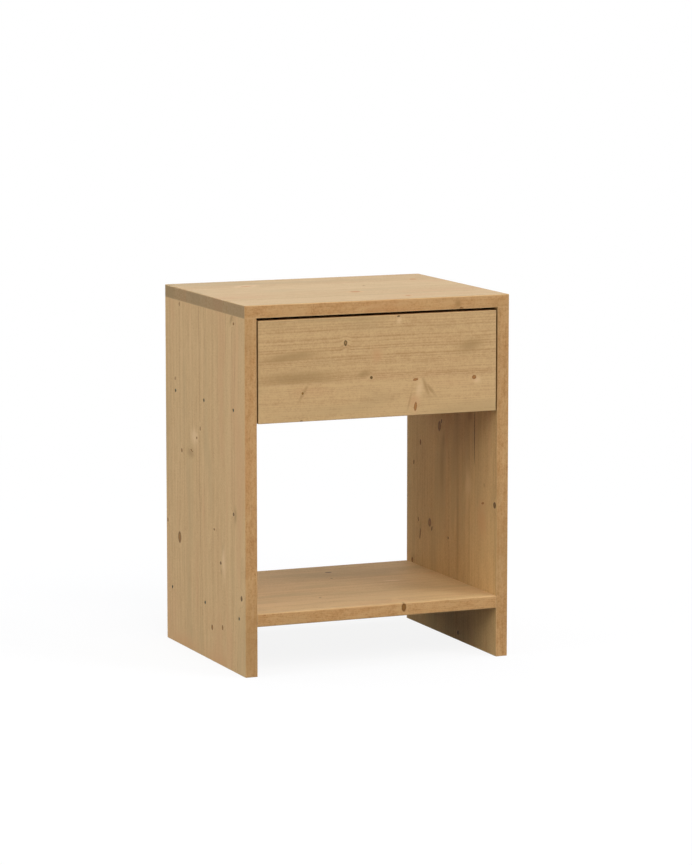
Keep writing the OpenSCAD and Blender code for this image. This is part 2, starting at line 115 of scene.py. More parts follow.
# ---- shader graphs ----


def operator(operation: str, swapped: bool = False) -> Callable[["Value", Any], "Value"]:
    """Makes the method of a Value that stands for one operation on two numbers.

    Args:
        operation: The Math node's name of the operation.
        swapped: Whether the Value comes second.

    Returns:
        The method.
    """

    def method(self: "Value", other: Any) -> "Value":
        """Result of the operation."""
        return self.math(operation, *((other, self) if swapped else (self, other)))

    return method


class Value:
    """A number that varies over a surface, written in Python expressions.

    Args:
        graph: Graph that holds the nodes.
        socket: Output socket that carries the number.
    """

    def __init__(self, graph: "Graph", socket: Socket) -> None:
        self.graph = graph
        self.socket = socket

    def math(self, operation: str, *operands: Any, clamp: bool = False) -> "Value":
        """Result of one Math node."""
        sockets = dict(enumerate(operands))
        node = self.graph.node("Math", sockets, operation=operation, use_clamp=clamp)
        return Value(self.graph, node.outputs[0])

    __add__ = operator("ADD")
    __radd__ = operator("ADD", swapped=True)
    __sub__ = operator("SUBTRACT")
    __rsub__ = operator("SUBTRACT", swapped=True)
    __mul__ = operator("MULTIPLY")
    __truediv__ = operator("DIVIDE")
    __pow__ = operator("POWER")
    least = operator("MINIMUM")
    most = operator("MAXIMUM")

    def __abs__(self) -> "Value":
        """Size without its sign."""
        return self.math("ABSOLUTE", self)

    def fraction(self) -> "Value":
        """Part after the decimal point."""
        return self.math("FRACT", self)

    def clamped(self) -> "Value":
        """Kept between 0 and 1."""
        return self.math("ADD", self, 0.0, clamp=True)

    def swing(self, size: float) -> "Value":
        """A noise moved from its mean of 0.5 to 0, times a size."""
        return (self - 0.5) * size

    def rise(self, start: float, end: float) -> "Value":
        """Smooth step from 0 at start to 1 at end, or down where end is the smaller.

        Args:
            start: Value at which the result leaves 0.
            end: Value at which the result reaches 1.

        Returns:
            The step, between 0 and 1.
        """
        span = (start, end, 0.0, 1.0) if start < end else (end, start, 1.0, 0.0)
        sockets = dict(zip(("From Min", "From Max", "To Min", "To Max"), span))
        sockets["Value"] = self
        node = self.graph.node("MapRange", sockets, interpolation_type="SMOOTHSTEP")
        return Value(self.graph, node.outputs[0])


class Noise(NamedTuple):
    """Waves per unit of place, number of finer layers, and the strength of those."""

    scale: float
    detail: float = 2.0
    rough: float = 0.5


class Graph:
    """The node graph of one material or world.

    Args:
        tree: Node tree to fill. What it holds is cleared.
    """

    def __init__(self, tree: bpy.types.NodeTree) -> None:
        self.tree = tree
        self.tree.nodes.clear()

    @classmethod
    def of_material(cls, name: str) -> "Graph":
        """Makes a material, which becomes the graph's attribute, and its empty graph."""
        material = bpy.data.materials.new(name)
        material.use_nodes = True
        graph = cls(material.node_tree)
        graph.material = material
        return graph

    def node(
        self, kind: str, sockets: dict[Any, Any] | None = None, **settings: Any
    ) -> bpy.types.Node:
        """Adds any node.

        Args:
            kind: The node's type, without ShaderNode in front.
            sockets: What goes into each input socket, by its name or number: a Value, a node's
                first output, a link or a constant.
            settings: Node properties, set first.

        Returns:
            The node.
        """
        node = self.tree.nodes.new(f"ShaderNode{kind}")
        for name, setting in settings.items():
            setattr(node, name, setting)
        for key, source in (sockets or {}).items():
            if isinstance(source, bpy.types.Node):
                source = source.outputs[0]
            elif isinstance(source, Value):
                source = source.socket
            if isinstance(source, Socket):
                self.tree.links.new(source, node.inputs[key])
            else:
                node.inputs[key].default_value = source
        return node

    def vector_math(self, operation: str, *operands: Any) -> Socket:
        """Result of a Vector Math node that is a vector."""
        return self.node("VectorMath", dict(enumerate(operands)), operation=operation).outputs[0]

    def length(self, vector: Socket) -> Value:
        """Length of a vector."""
        node = self.node("VectorMath", {0: vector}, operation="LENGTH")
        return Value(self, node.outputs["Value"])

    def split(self, vector: Socket) -> list[Value]:
        """The three numbers of a vector."""
        return [Value(self, output) for output in self.node("SeparateXYZ", {0: vector}).outputs]

    def vector(self, x: Any, y: Any, z: Any) -> Socket:
        """A vector from three numbers."""
        return self.node("CombineXYZ", {0: x, 1: y, 2: z}).outputs[0]

    def place(self) -> Socket:
        """Place on the object, in millimetres."""
        own = self.node("TexCoord").outputs["Object"]
        return self.vector_math("MULTIPLY", own, (MILLIMETRES,) * 3)

    def facing(self) -> list[Value]:
        """How far the surface faces along each axis of the object, without sign."""
        normal = self.node("TexCoord").outputs["Normal"]
        return self.split(self.vector_math("ABSOLUTE", normal))

    def noise(self, at: Any, kind: Noise) -> Value:
        """Noise of about 0.5 in the mean.

        Args:
            at: Where it is read: a vector, or a Value for noise along one number.
            kind: Its settings.

        Returns:
            The noise.
        """
        line = isinstance(at, Value)
        sockets = {"W" if line else "Vector": at, "Scale": kind.scale, "Detail": kind.detail}
        sockets["Roughness"] = kind.rough
        node = self.node("TexNoise", sockets, noise_dimensions="1D" if line else "3D")
        return Value(self, node.outputs[0])

    def mix(self, share: Any, base: Any, other: Any, how: str = "MIX") -> Socket:
        """Mixes two colours.

        Args:
            share: How much of other is used, from 0 to 1.
            base: Linear colour or colour socket.
            other: Linear colour or colour socket.
            how: Blend mode.

        Returns:
            The mixed colour.
        """
        settings = {"data_type": "RGBA", "blend_type": how, "clamp_factor": True}
        return self.node("Mix", {0: share, 6: base, 7: other}, **settings).outputs[2]

    def bump(self, height: Value, strength: float, depth: float) -> Socket:
        """Normal of a surface with a relief from 0 to 1, whose depth is in metres."""
        sockets = {"Strength": strength, "Distance": depth, "Height": height}
        return self.node("Bump", sockets).outputs[0]

    def surface(self, **sockets: Any) -> Material:
        """Finishes the material with one Principled shader.

        Args:
            sockets: What goes into the shader's inputs, with _ for a space.

        Returns:
            The material.
        """
        named = {key.replace("_", " "): given for key, given in sockets.items()}
        self.node("OutputMaterial", {0: self.node("BsdfPrincipled", named)})
        return self.material


# ---- wood ----


# Which of a mark's colours is meant; and one laying of it: that, the rise of its border, its share.
MIDDLE, RIM, HALO = range(3)
Layer = tuple[int, tuple[float, float], Any]


class Mark(Enum):
    """What a mark in the wood looks like: the colours of its middle, its rim and its halo."""

    DARK = ((118, 84, 44), (54, 35, 13), (202, 168, 120))
    RINGED = ((166, 126, 78), (46, 28, 11), (204, 170, 122))
    BROWN = ((146, 104, 52), (102, 67, 26), (200, 166, 118))
    RED = ((168, 118, 68), (132, 82, 40), (204, 166, 120))
    AMBER = ((194, 126, 66), (156, 96, 46), (214, 164, 108))
    PALE = ((222, 190, 146), (222, 190, 146), (209, 175, 129))
    BLUSH = ((192, 146, 100), (192, 146, 100), (197, 156, 110))
    SHADE = ((152, 121, 78), (152, 121, 78), (168, 136, 90))

    @property
    def soft(self) -> bool:
        """Whether the mark is a soft patch and not a knot with an edge."""
        return self in (Mark.PALE, Mark.BLUSH, Mark.SHADE)


class Figure(NamedTuple):
    """One knot, streak or patch, as an ellipsoid in the wood.

    Attributes:
        mark: What it looks like.
        centre: Middle, in millimetres in the part's frame.
        radii: Half sizes along X, Y and Z, in millimetres.
        lean: Turn in degrees about the board's thickness.
    """

    mark: Mark
    centre: Triple
    radii: Triple
    lean: float = 0.0


def figures(
    normal: Axis, level: float, **rows: list[tuple[float, ...]]
) -> tuple[Figure, ...]:
    """Lays knots, streaks and patches out on one face of a board.

    Args:
        normal: Axis that the face is square to.
        level: Where the face is on that axis, in millimetres in the part's frame.
        rows: Figures of each mark: two coordinates on the face, three radii and any lean.

    Returns:
        The figures.
    """
    found = []
    for name, entries in rows.items():
        mark = Mark[name.upper()]
        for first, second, *sizes in entries:
            centre = [first, second]
            centre.insert(normal.value, level)
            found.append(Figure(mark, tuple(centre), tuple(sizes[:3]), *sizes[3:]))
    return tuple(found)


class Stave(NamedTuple):
    """One lath of an edge-glued board.

    Attributes:
        end: Where it ends across the board, in millimetres in the part's frame.
        heart: Distance from the board's middle to the tree's heart, across it and through it.
        tone: From 0, darker, to 1, lighter.
        ring: Mean width of a growth ring, in millimetres.
    """

    end: float
    heart: tuple[float, float]
    tone: float = 0.5
    ring: float = 2.6


@dataclass(frozen=True)
class SolidWood:
    """Planed softwood with growth rings, fibres, knots, glued staves, and a painted highlight along
    its arrises.

    Attributes:
        early: Colour of the light early wood.
        late: Colour of the dark late wood.
        blush: Colour of warmer stretches.
        olive: Colour of greyer stretches.
        edge: Tint of the long edges, which take more oil.
        end: Tint of end grain.
        roughness: Mean roughness.
    """

    early: Colour
    late: Colour
    blush: Colour
    olive: Colour
    edge: Colour
    end: Colour
    roughness: float = 0.62


OILED_SPRUCE = SolidWood(
    early=(202, 168, 120),
    late=(168, 130, 85),
    blush=(196, 150, 106),
    olive=(176, 148, 104),
    edge=(242, 225, 207),
    end=(196, 200, 208),
)
PLAIN_SPRUCE = SolidWood(
    early=(226, 201, 158),
    late=(198, 164, 118),
    blush=(222, 188, 144),
    olive=(208, 186, 146),
    edge=(250, 246, 240),
    end=(226, 220, 210),
    roughness=0.58,
)


@dataclass(frozen=True)
class Board:
    """One board: how its wood runs and what shows in it.

    Attributes:
        node: Name of its node.
        grain: Axis along the fibres.
        across: Axis across the staves.
        seed: Moves the warmer and greyer stretches, so that no two boards are alike.
        staves: Its laths, from the lowest to the highest across.
        figures: Knots, streaks and patches.
        sway: How far the rings wander along the board, in millimetres.
        tint: Red, green and blue that its broad faces are multiplied by: partly the board's own
            tone, partly painted light that sets how bright, warm or cool they render.
        wood: Its finish.
    """

    node: str
    grain: Axis
    across: Axis
    seed: float
    staves: tuple[Stave, ...]
    figures: tuple[Figure, ...] = ()
    sway: float = 7.0
    tint: Triple = (1.0, 1.0, 1.0)
    wood: SolidWood = OILED_SPRUCE

    @property
    def through(self) -> Axis:
        """Axis of the board's thickness."""
        return Axis(3 - self.grain.value - self.across.value)


class Pattern:
    """The wood of one board, worked out over its surface.

    Args:
        board: The board.
    """

    # The noises of the wood.
    SWAY = Noise(0.011)
    RIPPLE = Noise(0.05, 1.0)
    FIBRES = Noise(0.45, 4.0, 0.80)
    PORES = Noise(3.4, 1.0)
    SPECKLE = Noise(0.34, 3.0, 0.9)
    MOTTLE = Noise(0.15, 3.0, 0.65)
    TINT = Noise(0.017)
    DRIFT = Noise(0.10, 1.0)
    BANDS = Noise(0.16)
    SHAKE = Noise(0.35)

    # Share of a step along the grain that counts for the noises that are drawn out along it, and
    # how far noises and years jump from the darkest stave to the lightest.
    FIBRE_DRAW, SLOW_DRAW, MOTTLE_DRAW = 0.014, 0.25, 0.30
    FIBRE_JUMP, SLOW_JUMP, YEAR_JUMP = 90.0, 700.0, 300.0

    # Ranges that a stave's values are packed into, to travel as a colour and its alpha.
    HEART_ACROSS, HEART_THROUGH, WIDEST_RING = 400.0, 200.0, 10.0

    # How much each thing darkens the wood, and how strongly tints and paint are laid on.
    RINGS, RINGS_BETWEEN_BANDS, RINGS_IN_BANDS, BAND_SHADE = 0.27, 0.30, 1.2, 0.12
    FIBRE_SHADE, MOTTLE_SHADE, SPECKLE_SHADE, TONE_SHADE, BASE_SHADE = 0.90, 0.66, 1.75, 0.9, 0.12
    SAWN_CLOUDS, END_FADE = 0.8, 0.75
    BLUSH, OLIVE, GLUE, PATCH = 0.40, 0.54, 0.35, 0.42

    # Rises: where a face counts as square to an axis, where each soft border lies, and how far the
    # painted highlight on the arrises reaches.
    SQUARE = (0.55, 0.85)
    WARM, GREY = (0.52, 0.70), (0.48, 0.30)
    LATE_WOOD, YEAR_END, FAT_YEARS = (0.25, 0.84), (1.0, 0.88), (0.30, 0.72)
    SWELLING, GLUE_LINE, RUBBED = (4.5, 0.8), (0.35, 0.05), (1.8, 0.3)

    STAVE_BLUR = 0.2
    SHAKE_REACH = 0.8
    OUT_OF_REACH = 50.0

    def __init__(self, board: Board) -> None:
        self.board = board
        self.graph = Graph.of_material(f"{board.node}_wood")
        self.low, self.high = (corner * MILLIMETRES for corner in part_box(board.node))
        self.middle = (self.low + self.high) / 2
        self.place = self.graph.place()
        own = self.graph.vector_math("SUBTRACT", self.place, tuple(self.middle))
        self.own = self.graph.split(own)
        self.along, self.across, self.through = (
            self.own[axis.value] for axis in (board.grain, board.across, board.through)
        )
        facing = self.graph.facing()
        self.ends, self.edges = (
            facing[axis.value].rise(*self.SQUARE) for axis in (board.grain, board.across)
        )
        self.stave = self._stave_values()

    def material(self) -> Material:
        """Builds the wood up from its rings to the painted highlight on its arrises.

        Returns:
            The board's material.
        """
        graph, board, wood = self.graph, self.board, self.board.wood
        ends, edges, tone = self.ends, self.edges, self.stave["tone"]
        knots, patches = self._figure_distances()
        fibre_at = graph.vector(
            self.along * self.FIBRE_DRAW, self.across, self.through + tone * self.FIBRE_JUMP
        )
        slow_at = graph.vector(
            self.along * self.SLOW_DRAW, self.across, self.through * 0.5 + tone * self.SLOW_JUMP
        )
        mottle_at = graph.vector(self.along * self.MOTTLE_DRAW, self.across, self.through)
        rings, bands = self._rings(slow_at, knots)
        fibres = graph.noise(fibre_at, self.FIBRES)
        pores = graph.noise(fibre_at, self.PORES)
        speckle = graph.noise(self.place, self.SPECKLE)
        mottle = graph.noise(mottle_at, self.MOTTLE)

        lines = rings * self.RINGS * (self.RINGS_BETWEEN_BANDS + bands * self.RINGS_IN_BANDS)
        lines = lines + bands * self.BAND_SHADE + fibres.swing(self.FIBRE_SHADE)
        clouds = mottle.swing(self.MOTTLE_SHADE) + speckle.swing(self.SPECKLE_SHADE)
        clouds = clouds * (1 + (ends + edges) * self.SAWN_CLOUDS)
        depth = lines * (1 - ends * self.END_FADE) + clouds
        depth = depth + (0.5 - tone) * self.TONE_SHADE + self.BASE_SHADE
        colour = graph.mix(depth.clamped(), linear(wood.early), linear(wood.late))
        tint_at = graph.vector_math("ADD", slow_at, (board.seed, 31.0, 7.0))
        tint = graph.noise(tint_at, self.TINT)
        colour = graph.mix(tint.rise(*self.WARM) * self.BLUSH, colour, linear(wood.blush))
        colour = graph.mix(tint.rise(*self.GREY) * self.OLIVE, colour, linear(wood.olive))
        colour = self._paint(colour, patches, mottle.swing(1.1) + fibres.swing(0.7), [
            (HALO, (1.7, 0.5), self.PATCH),
            (MIDDLE, (1.1, 0.1), self.PATCH),
        ])
        colour = self._paint(colour, knots, speckle.swing(0.5), [
            (HALO, (2.4, 1.1), 0.40),
            (RIM, (1.25, 0.85), 0.45 + speckle * 0.8),
            (MIDDLE, (0.90, 0.35), 0.25 + fibres * 0.9),
        ])
        if len(board.staves) > 1:
            colour = graph.mix(self._glue_lines() * self.GLUE, colour, linear(wood.late))
        # Partly painted light: the tint brightens, warms or cools each board's broad faces to set
        # how lit they look, along with the board's own tone.
        faces = (1 - ends - edges).clamped()
        colour = graph.mix(faces, colour, (*board.tint, 1.0), "MULTIPLY")
        oiled = edges * (0.85 + mottle.swing(1.2))
        colour = graph.mix(oiled, colour, linear(wood.edge), "MULTIPLY")
        colour = graph.mix(ends * (tone.swing(0.5) + 0.85), colour, linear(wood.end), "MULTIPLY")
        # Painted highlight: the outer arrises are lightened towards the early wood, as where rounded
        # edges catch the light.
        colour = graph.mix(self._arris_highlight() * (0.10 + fibres * 0.35), colour, linear(wood.early))

        relief = fibres * 0.6 + pores * 0.25 - rings * 0.35 + 0.3
        return graph.surface(
            Base_Color=colour,
            Roughness=wood.roughness + fibres.swing(0.16) - rings * 0.05 + ends * 0.10,
            Normal=graph.bump(relief, 0.30, 0.00025),
            IOR=1.45,
            Specular_IOR_Level=0.14,
        )

    def _stave_values(self) -> dict[str, Value]:
        """Reads what the staves hold, at the point's place across the board.

        Returns:
            Place of the heart across and through the board, the tone, and the width of a ring.
        """
        axis = self.board.across.value
        low, width = self.low[axis], self.high[axis] - self.low[axis]
        held = self.graph.node("ValToRGB", {0: self.across / width + 0.5})
        stops = held.color_ramp.elements
        held.color_ramp.interpolation = "CONSTANT"
        stops[1].position = 1.0
        stop, start = stops[0], low
        for stave in self.board.staves:
            if start > low:
                stop = stops.new((start - low) / width)
            stop.color = stops[-1].color = (
                0.5 + stave.heart[0] / self.HEART_ACROSS,
                0.5 + stave.heart[1] / self.HEART_THROUGH,
                stave.tone,
                stave.ring / self.WIDEST_RING,
            )
            start = stave.end
        across, through, tone = self.graph.split(held.outputs["Color"])
        return {
            "heart_across": across.swing(self.HEART_ACROSS),
            "heart_through": through.swing(self.HEART_THROUGH),
            "tone": tone,
            "ring": Value(self.graph, held.outputs["Alpha"]) * self.WIDEST_RING,
        }

    def _rings(self, slow_at: Socket, knots: dict[Mark, Value]) -> tuple[Value, Value]:
        """Growth rings, and the broader bands of fat and lean years.

        Args:
            slow_at: Where slow noises are read.
            knots: Distances to the knots, which the rings bulge round.

        Returns:
            Darkness of the late wood, and of the bands, both from 0 to 1.
        """
        graph, stave = self.graph, self.stave
        sway = graph.noise(slow_at, self.SWAY).swing(2 * self.board.sway)
        ripple = graph.noise(slow_at, self.RIPPLE).swing(1.6)
        sideways = self.across - stave["heart_across"]
        deep = self.through - stave["heart_through"]
        radius = (sideways * sideways + deep * deep) ** 0.5 + sway + ripple
        if knots:
            first, *others = knots.values()
            for other in others:
                first = first.least(other)
            radius = radius + first.rise(*self.SWELLING) * 3.2
        years = radius + self.along * 0.004 + stave["tone"] * self.YEAR_JUMP
        year = (years / stave["ring"] + graph.noise(years, self.DRIFT) * 1.6).fraction()
        late = year.rise(*self.LATE_WOOD) * year.rise(*self.YEAR_END)
        return late, graph.noise(years, self.BANDS).rise(*self.FAT_YEARS)

    def _figure_distances(self) -> tuple[dict[Mark, Value], dict[Mark, Value]]:
        """Distance to the nearest figure of each mark, where 1 is its edge.

        Returns:
            Distances for the knots, and for the soft patches.
        """
        graph, board = self.graph, self.board
        axis = board.across.value
        shake = graph.noise(self.place, self.SHAKE).socket.node.outputs["Color"]
        shaken = graph.vector_math("MULTIPLY", shake, (2 * self.SHAKE_REACH,) * 3)
        shaken = graph.vector_math("SUBTRACT", shaken, (self.SHAKE_REACH,) * 3)
        frayed = graph.vector_math("ADD", self.place, shaken)
        borders = [self.low[axis] - 1.0, *(stave.end for stave in board.staves)]
        borders[-1] += 1.0
        bounds = list(zip(borders, borders[1:]))
        across = graph.split(self.place)[axis]
        inside = [
            across.rise(low - self.STAVE_BLUR, low + self.STAVE_BLUR)
            * across.rise(high + self.STAVE_BLUR, high - self.STAVE_BLUR)
            for low, high in bounds
        ]
        knots: dict[Mark, Value] = {}
        patches: dict[Mark, Value] = {}
        for figure in board.figures:
            turn = [0.0, 0.0, 0.0]
            turn[board.through.value] = math.radians(figure.lean)
            sockets = {0: frayed, 1: figure.centre, 2: turn, 3: figure.radii}
            local = graph.node("Mapping", sockets, vector_type="TEXTURE").outputs[0]
            at = figure.centre[axis]
            own = next(kept for kept, (low, high) in zip(inside, bounds) if low <= at < high)
            distance = graph.length(local) + (1 - own) * self.OUT_OF_REACH
            found = patches if figure.mark.soft else knots
            known = found.get(figure.mark)
            found[figure.mark] = known.least(distance) if known else distance
        return knots, patches

    def _paint(self, colour: Any, marks: dict[Mark, Value], fray: Value, layers: list[Layer]) -> Any:
        """Lays marks over the wood.

        Args:
            colour: Colour of the wood.
            marks: Distance to the nearest figure of each mark.
            fray: What roughens their borders.
            layers: What is laid over the wood for each mark, in that order.

        Returns:
            The painted colour.
        """
        for mark, distance in marks.items():
            for part, border, share in layers:
                laid = (distance + fray).rise(*border) * share
                colour = self.graph.mix(laid, colour, linear(mark.value[part]))
        return colour

    def _glue_lines(self) -> Value:
        """Hair-fine lines where the staves meet, from 0 to 1."""
        middle = self.middle[self.board.across.value]
        gaps = [abs(self.across - (stave.end - middle)) for stave in self.board.staves[:-1]]
        return sum(gap.rise(*self.GLUE_LINE) for gap in gaps)

    def _arris_highlight(self) -> Value:
        """Where the board's outer arrises get a painted highlight, lighter as rounded edges that
        catch the light, from 0 to 1.
        """
        half = (self.high - self.low) / 2
        x, y, z = (half[i] - abs(self.own[i]) for i in range(3))
        return x.most(y).least(x.least(y).most(z)).rise(*self.RUBBED)


@dataclass(frozen=True)
class Plywood:
    """Sanded birch plywood: a flecked face, and plies of turned grain on its edges."""

    face: Colour = (216, 191, 150)
    fleck: Colour = (190, 158, 114)
    cross: Colour = (168, 130, 88)
    plies: int = 3

    CLOUD = Noise(0.8, 3.0)
    PORES = Noise(1.0, 3.0, 0.6)
    FLAME = Noise(1.0)

    def material(self, node: str) -> Material:
        """Makes the finish of one sheet.

        Args:
            node: Name of the sheet's node. Its face grain runs along Y.

        Returns:
            Its material.
        """
        graph = Graph.of_material(f"{node}_plywood")
        low, high = (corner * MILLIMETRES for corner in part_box(node))
        x, y, z = graph.split(graph.place())
        cloud = graph.noise(graph.vector(x * 0.05, y * 0.012, z), self.CLOUD)
        pores = graph.noise(graph.vector(x * 1.4, y * 0.09, z), self.PORES)
        flame = graph.noise(graph.vector(x * 0.02, y * 0.004, z), self.FLAME)
        flame = (flame * 14).fraction().rise(0.1, 0.9)
        depth = cloud * 0.45 + pores * 0.45 + flame * 0.22 - 0.15
        colour = graph.mix(depth.clamped(), linear(self.face), linear(self.fleck))
        edge = graph.facing()[2].rise(0.8, 0.4)
        layer = ((z - low[2]) / (high[2] - low[2]) * self.plies * 0.5).fraction()
        core = layer.rise(0.47, 0.53)
        colour = graph.mix(edge * (0.25 + core * 0.65), colour, linear(self.cross))
        return graph.surface(
            Base_Color=colour,
            Roughness=0.5 + pores * 0.18,
            Normal=graph.bump(pores, 0.2, 0.0002),
        )


@dataclass(frozen=True)
class DowelWood:
    """Turned beech with its short dark flecks, which run along the dowels' axis."""

    grain: Axis
    base: Colour = (206, 166, 120)
    fleck: Colour = (158, 112, 72)

    FLECKS = Noise(2.2, 2.0, 0.6)
    CLOUD = Noise(0.15, 1.0)
    DRAW = 0.18

    def material(self, node: str) -> Material:
        """Makes the finish of one group of dowels.

        Args:
            node: Name of the dowels' node.

        Returns:
            Their material.
        """
        graph = Graph.of_material(f"{node}_beech")
        stretch = [self.DRAW if axis is self.grain else 1.0 for axis in Axis]
        drawn = graph.vector_math("MULTIPLY", graph.place(), stretch)
        flecks = graph.noise(drawn, self.FLECKS)
        share = flecks.rise(0.56, 0.72) * 0.7 + graph.noise(drawn, self.CLOUD) * 0.35 - 0.1
        return graph.surface(
            Base_Color=graph.mix(share.clamped(), linear(self.base), linear(self.fleck)),
            Roughness=0.55 + flecks * 0.15,
            Normal=graph.bump(flecks, 0.2, 0.0002),
        )


# ---- metal and rubber ----


@dataclass(frozen=True)
class Plate:
    """Plated steel with drawn or tumbled texture, smears and bare high spots.

    Attributes:
        name: Name that the materials end with.
        base: Colour of the plating.
        tarnish: Colour of its duller stretches.
        roughness: Mean roughness.
        metallic: Mean metallic share.
        stretch: Length of the texture along Y over its width.
        grain: Fineness of the texture, in waves per millimetre.
    """

    name: str
    base: Colour
    tarnish: Colour
    roughness: float
    metallic: float = 1.0
    stretch: float = 12.0
    grain: float = 2.2

    CLOUD = Noise(0.06, 3.0, 0.55)
    SCUFFS = Noise(0.5, 4.0, 0.7)
    SCUFF_DRAW = (0.7, 1.9, 0.7)

    def material(self, node: str) -> Material:
        """Makes the finish of one node.

        Args:
            node: Name of the node.

        Returns:
            Its material.
        """
        graph = Graph.of_material(f"{node}_{self.name}")
        place = graph.place()
        drawn = graph.vector_math("MULTIPLY", place, (1.0, 1.0 / self.stretch, 1.0))
        lines = graph.noise(drawn, Noise(self.grain, 3.0, 0.6))
        scuffed = graph.vector_math("MULTIPLY", place, self.SCUFF_DRAW)
        scuffs = graph.noise(scuffed, self.SCUFFS).rise(0.55, 0.75)
        dull = graph.noise(place, self.CLOUD).rise(0.38, 0.70)
        share = dull * 0.55 + lines * 0.25
        return graph.surface(
            Base_Color=graph.mix(share, linear(self.base), linear(self.tarnish)),
            Roughness=self.roughness + lines.swing(0.22) + dull * 0.10 + scuffs * 0.10,
            Metallic=self.metallic - dull * 0.08,
            Normal=graph.bump(lines, 0.12, 0.0001),
        )


BRIGHT_ZINC = Plate("zinc", (214, 217, 219), (176, 182, 186), 0.30, stretch=1.0, grain=3.0)
RUNNER_ZINC = Plate("runner_zinc", (206, 210, 213), (170, 177, 182), 0.34)
CAGE_PLATE = Plate("cage_plate", (176, 180, 184), (142, 148, 152), 0.40, grain=3.2)
BALL_STEEL = Plate("ball_steel", (222, 224, 226), (196, 199, 202), 0.14, stretch=1.0, grain=5.0)
# Screw heads: the dark grey-green base is painted shade and painted reflection, for plated steel
# seen in shadow in its recess and mirroring dark surroundings.
SHADOWED_SCREW_STEEL = Plate("dark_steel", (66, 96, 82), (46, 68, 56), 0.46, 0.75, stretch=1.0, grain=3.0)


@dataclass(frozen=True)
class Rubber:
    """Matt moulded rubber with a dusty bloom."""

    base: Colour = (34, 34, 35)
    bloom: Colour = (72, 71, 70)

    CLOUD = Noise(0.25, 3.0, 0.6)
    GRIT = Noise(4.0)

    def material(self, node: str) -> Material:
        """Makes the finish of one buffer.

        Args:
            node: Name of the buffer's node.

        Returns:
            Its material.
        """
        graph = Graph.of_material(f"{node}_rubber")
        dust = graph.noise(graph.place(), self.CLOUD).rise(0.42, 0.74) * 0.6
        grit = graph.noise(graph.place(), self.GRIT)
        return graph.surface(
            Base_Color=graph.mix(dust, linear(self.base), linear(self.bloom)),
            Roughness=0.70 + grit * 0.2,
            Normal=graph.bump(grit, 0.25, 0.0002),
        )


def dress(node: str, material: Material) -> None:
    """Gives a node its finish.

    Args:
        node: Name of the node.
        material: Finish for all its faces.
    """
    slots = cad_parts[node].data.materials
    for index in range(len(slots)):
        slots[index] = material
    if not slots:
        slots.append(material)


# ---- turned and threaded hardware ----


def activate(piece: Piece, *others: Piece) -> None:
    """Selects a piece, the active one, and others with it, and nothing else."""
    bpy.ops.object.select_all(action="DESELECT")
    for one in (piece, *others):
        one.select_set(True)
    bpy.context.view_layer.objects.active = piece


def apply_transform() -> None:
    """Moves the place, turn and size of what is selected into its mesh."""
    bpy.ops.object.transform_apply(location=True, rotation=True, scale=True)


def cylinder(vertices: int, radius: float, depth: float, middle: float) -> "Bench":
    """Puts a cylinder on a bench.

    Args:
        vertices: Number of corners round it.
        radius: Its radius.
        depth: Its height.
        middle: Height of its middle over the origin.

    Returns:
        The bench.
    """
    bpy.ops.mesh.primitive_cylinder_add(
        vertices=vertices, radius=radius, depth=depth, location=(0, 0, middle)
    )
    apply_transform()
    return Bench(bpy.context.object)


class Bench:
    """Edit-mode work on one mesh: what an operator acts on is picked by its place.

    Args:
        piece: Mesh object. It is made the active one and opened in edit mode.
    """

    def __init__(self, piece: Piece) -> None:
        self.piece = piece
        activate(piece)
        bpy.ops.object.mode_set(mode="EDIT")

    def close(self) -> Piece:
        """Leaves edit mode and gives the piece back."""
        bpy.ops.object.mode_set(mode="OBJECT")
        return self.piece

    def pick_points(self, wanted: Callable[[Vector], bool]) -> None:
        """Selects the vertices at wanted places and nothing else.

        Args:
            wanted: Says of a place whether a vertex there is wanted.
        """
        bpy.ops.mesh.select_mode(type="VERT")
        bpy.ops.mesh.select_all(action="DESELECT")
        mesh = bmesh.from_edit_mesh(self.piece.data)
        for vertex in mesh.verts:
            vertex.select_set(wanted(vertex.co))
        mesh.select_flush_mode()
        bmesh.update_edit_mesh(self.piece.data)

    def pick_end(self, up: bool, within: float = math.inf) -> None:
        """Selects the flat faces at one end of a turned piece and nothing else.

        Args:
            up: Whether it is the upper end.
            within: Radius that the faces lie in.
        """
        bpy.ops.mesh.select_mode(type="FACE")
        sign = 1 if up else -1
        mesh = bmesh.from_edit_mesh(self.piece.data)
        level = max(sign * vertex.co.z for vertex in mesh.verts) - MERGE_REACH
        for face in mesh.faces:
            face.select_set(False)
        for face in mesh.faces:
            places = [vertex.co for vertex in face.verts]
            if all(sign * place.z > level and place.xy.length < within for place in places):
                face.select_set(True)
        bmesh.update_edit_mesh(self.piece.data)

    def extrude(self, rise: float, share: float = 1.0) -> None:
        """Extrudes the picked faces along Z, and sizes the new end about the axis.

        Args:
            rise: How far along Z.
            share: Width of the new end over that of the old one.
        """
        bpy.ops.mesh.extrude_region_move(TRANSFORM_OT_translate={"value": (0.0, 0.0, rise)})
        self.widen(share)

    def widen(self, share: float) -> None:
        """Sizes what is picked about the Z axis."""
        bpy.ops.transform.resize(value=(share, share, 1.0), center_override=(0.0, 0.0, 0.0))


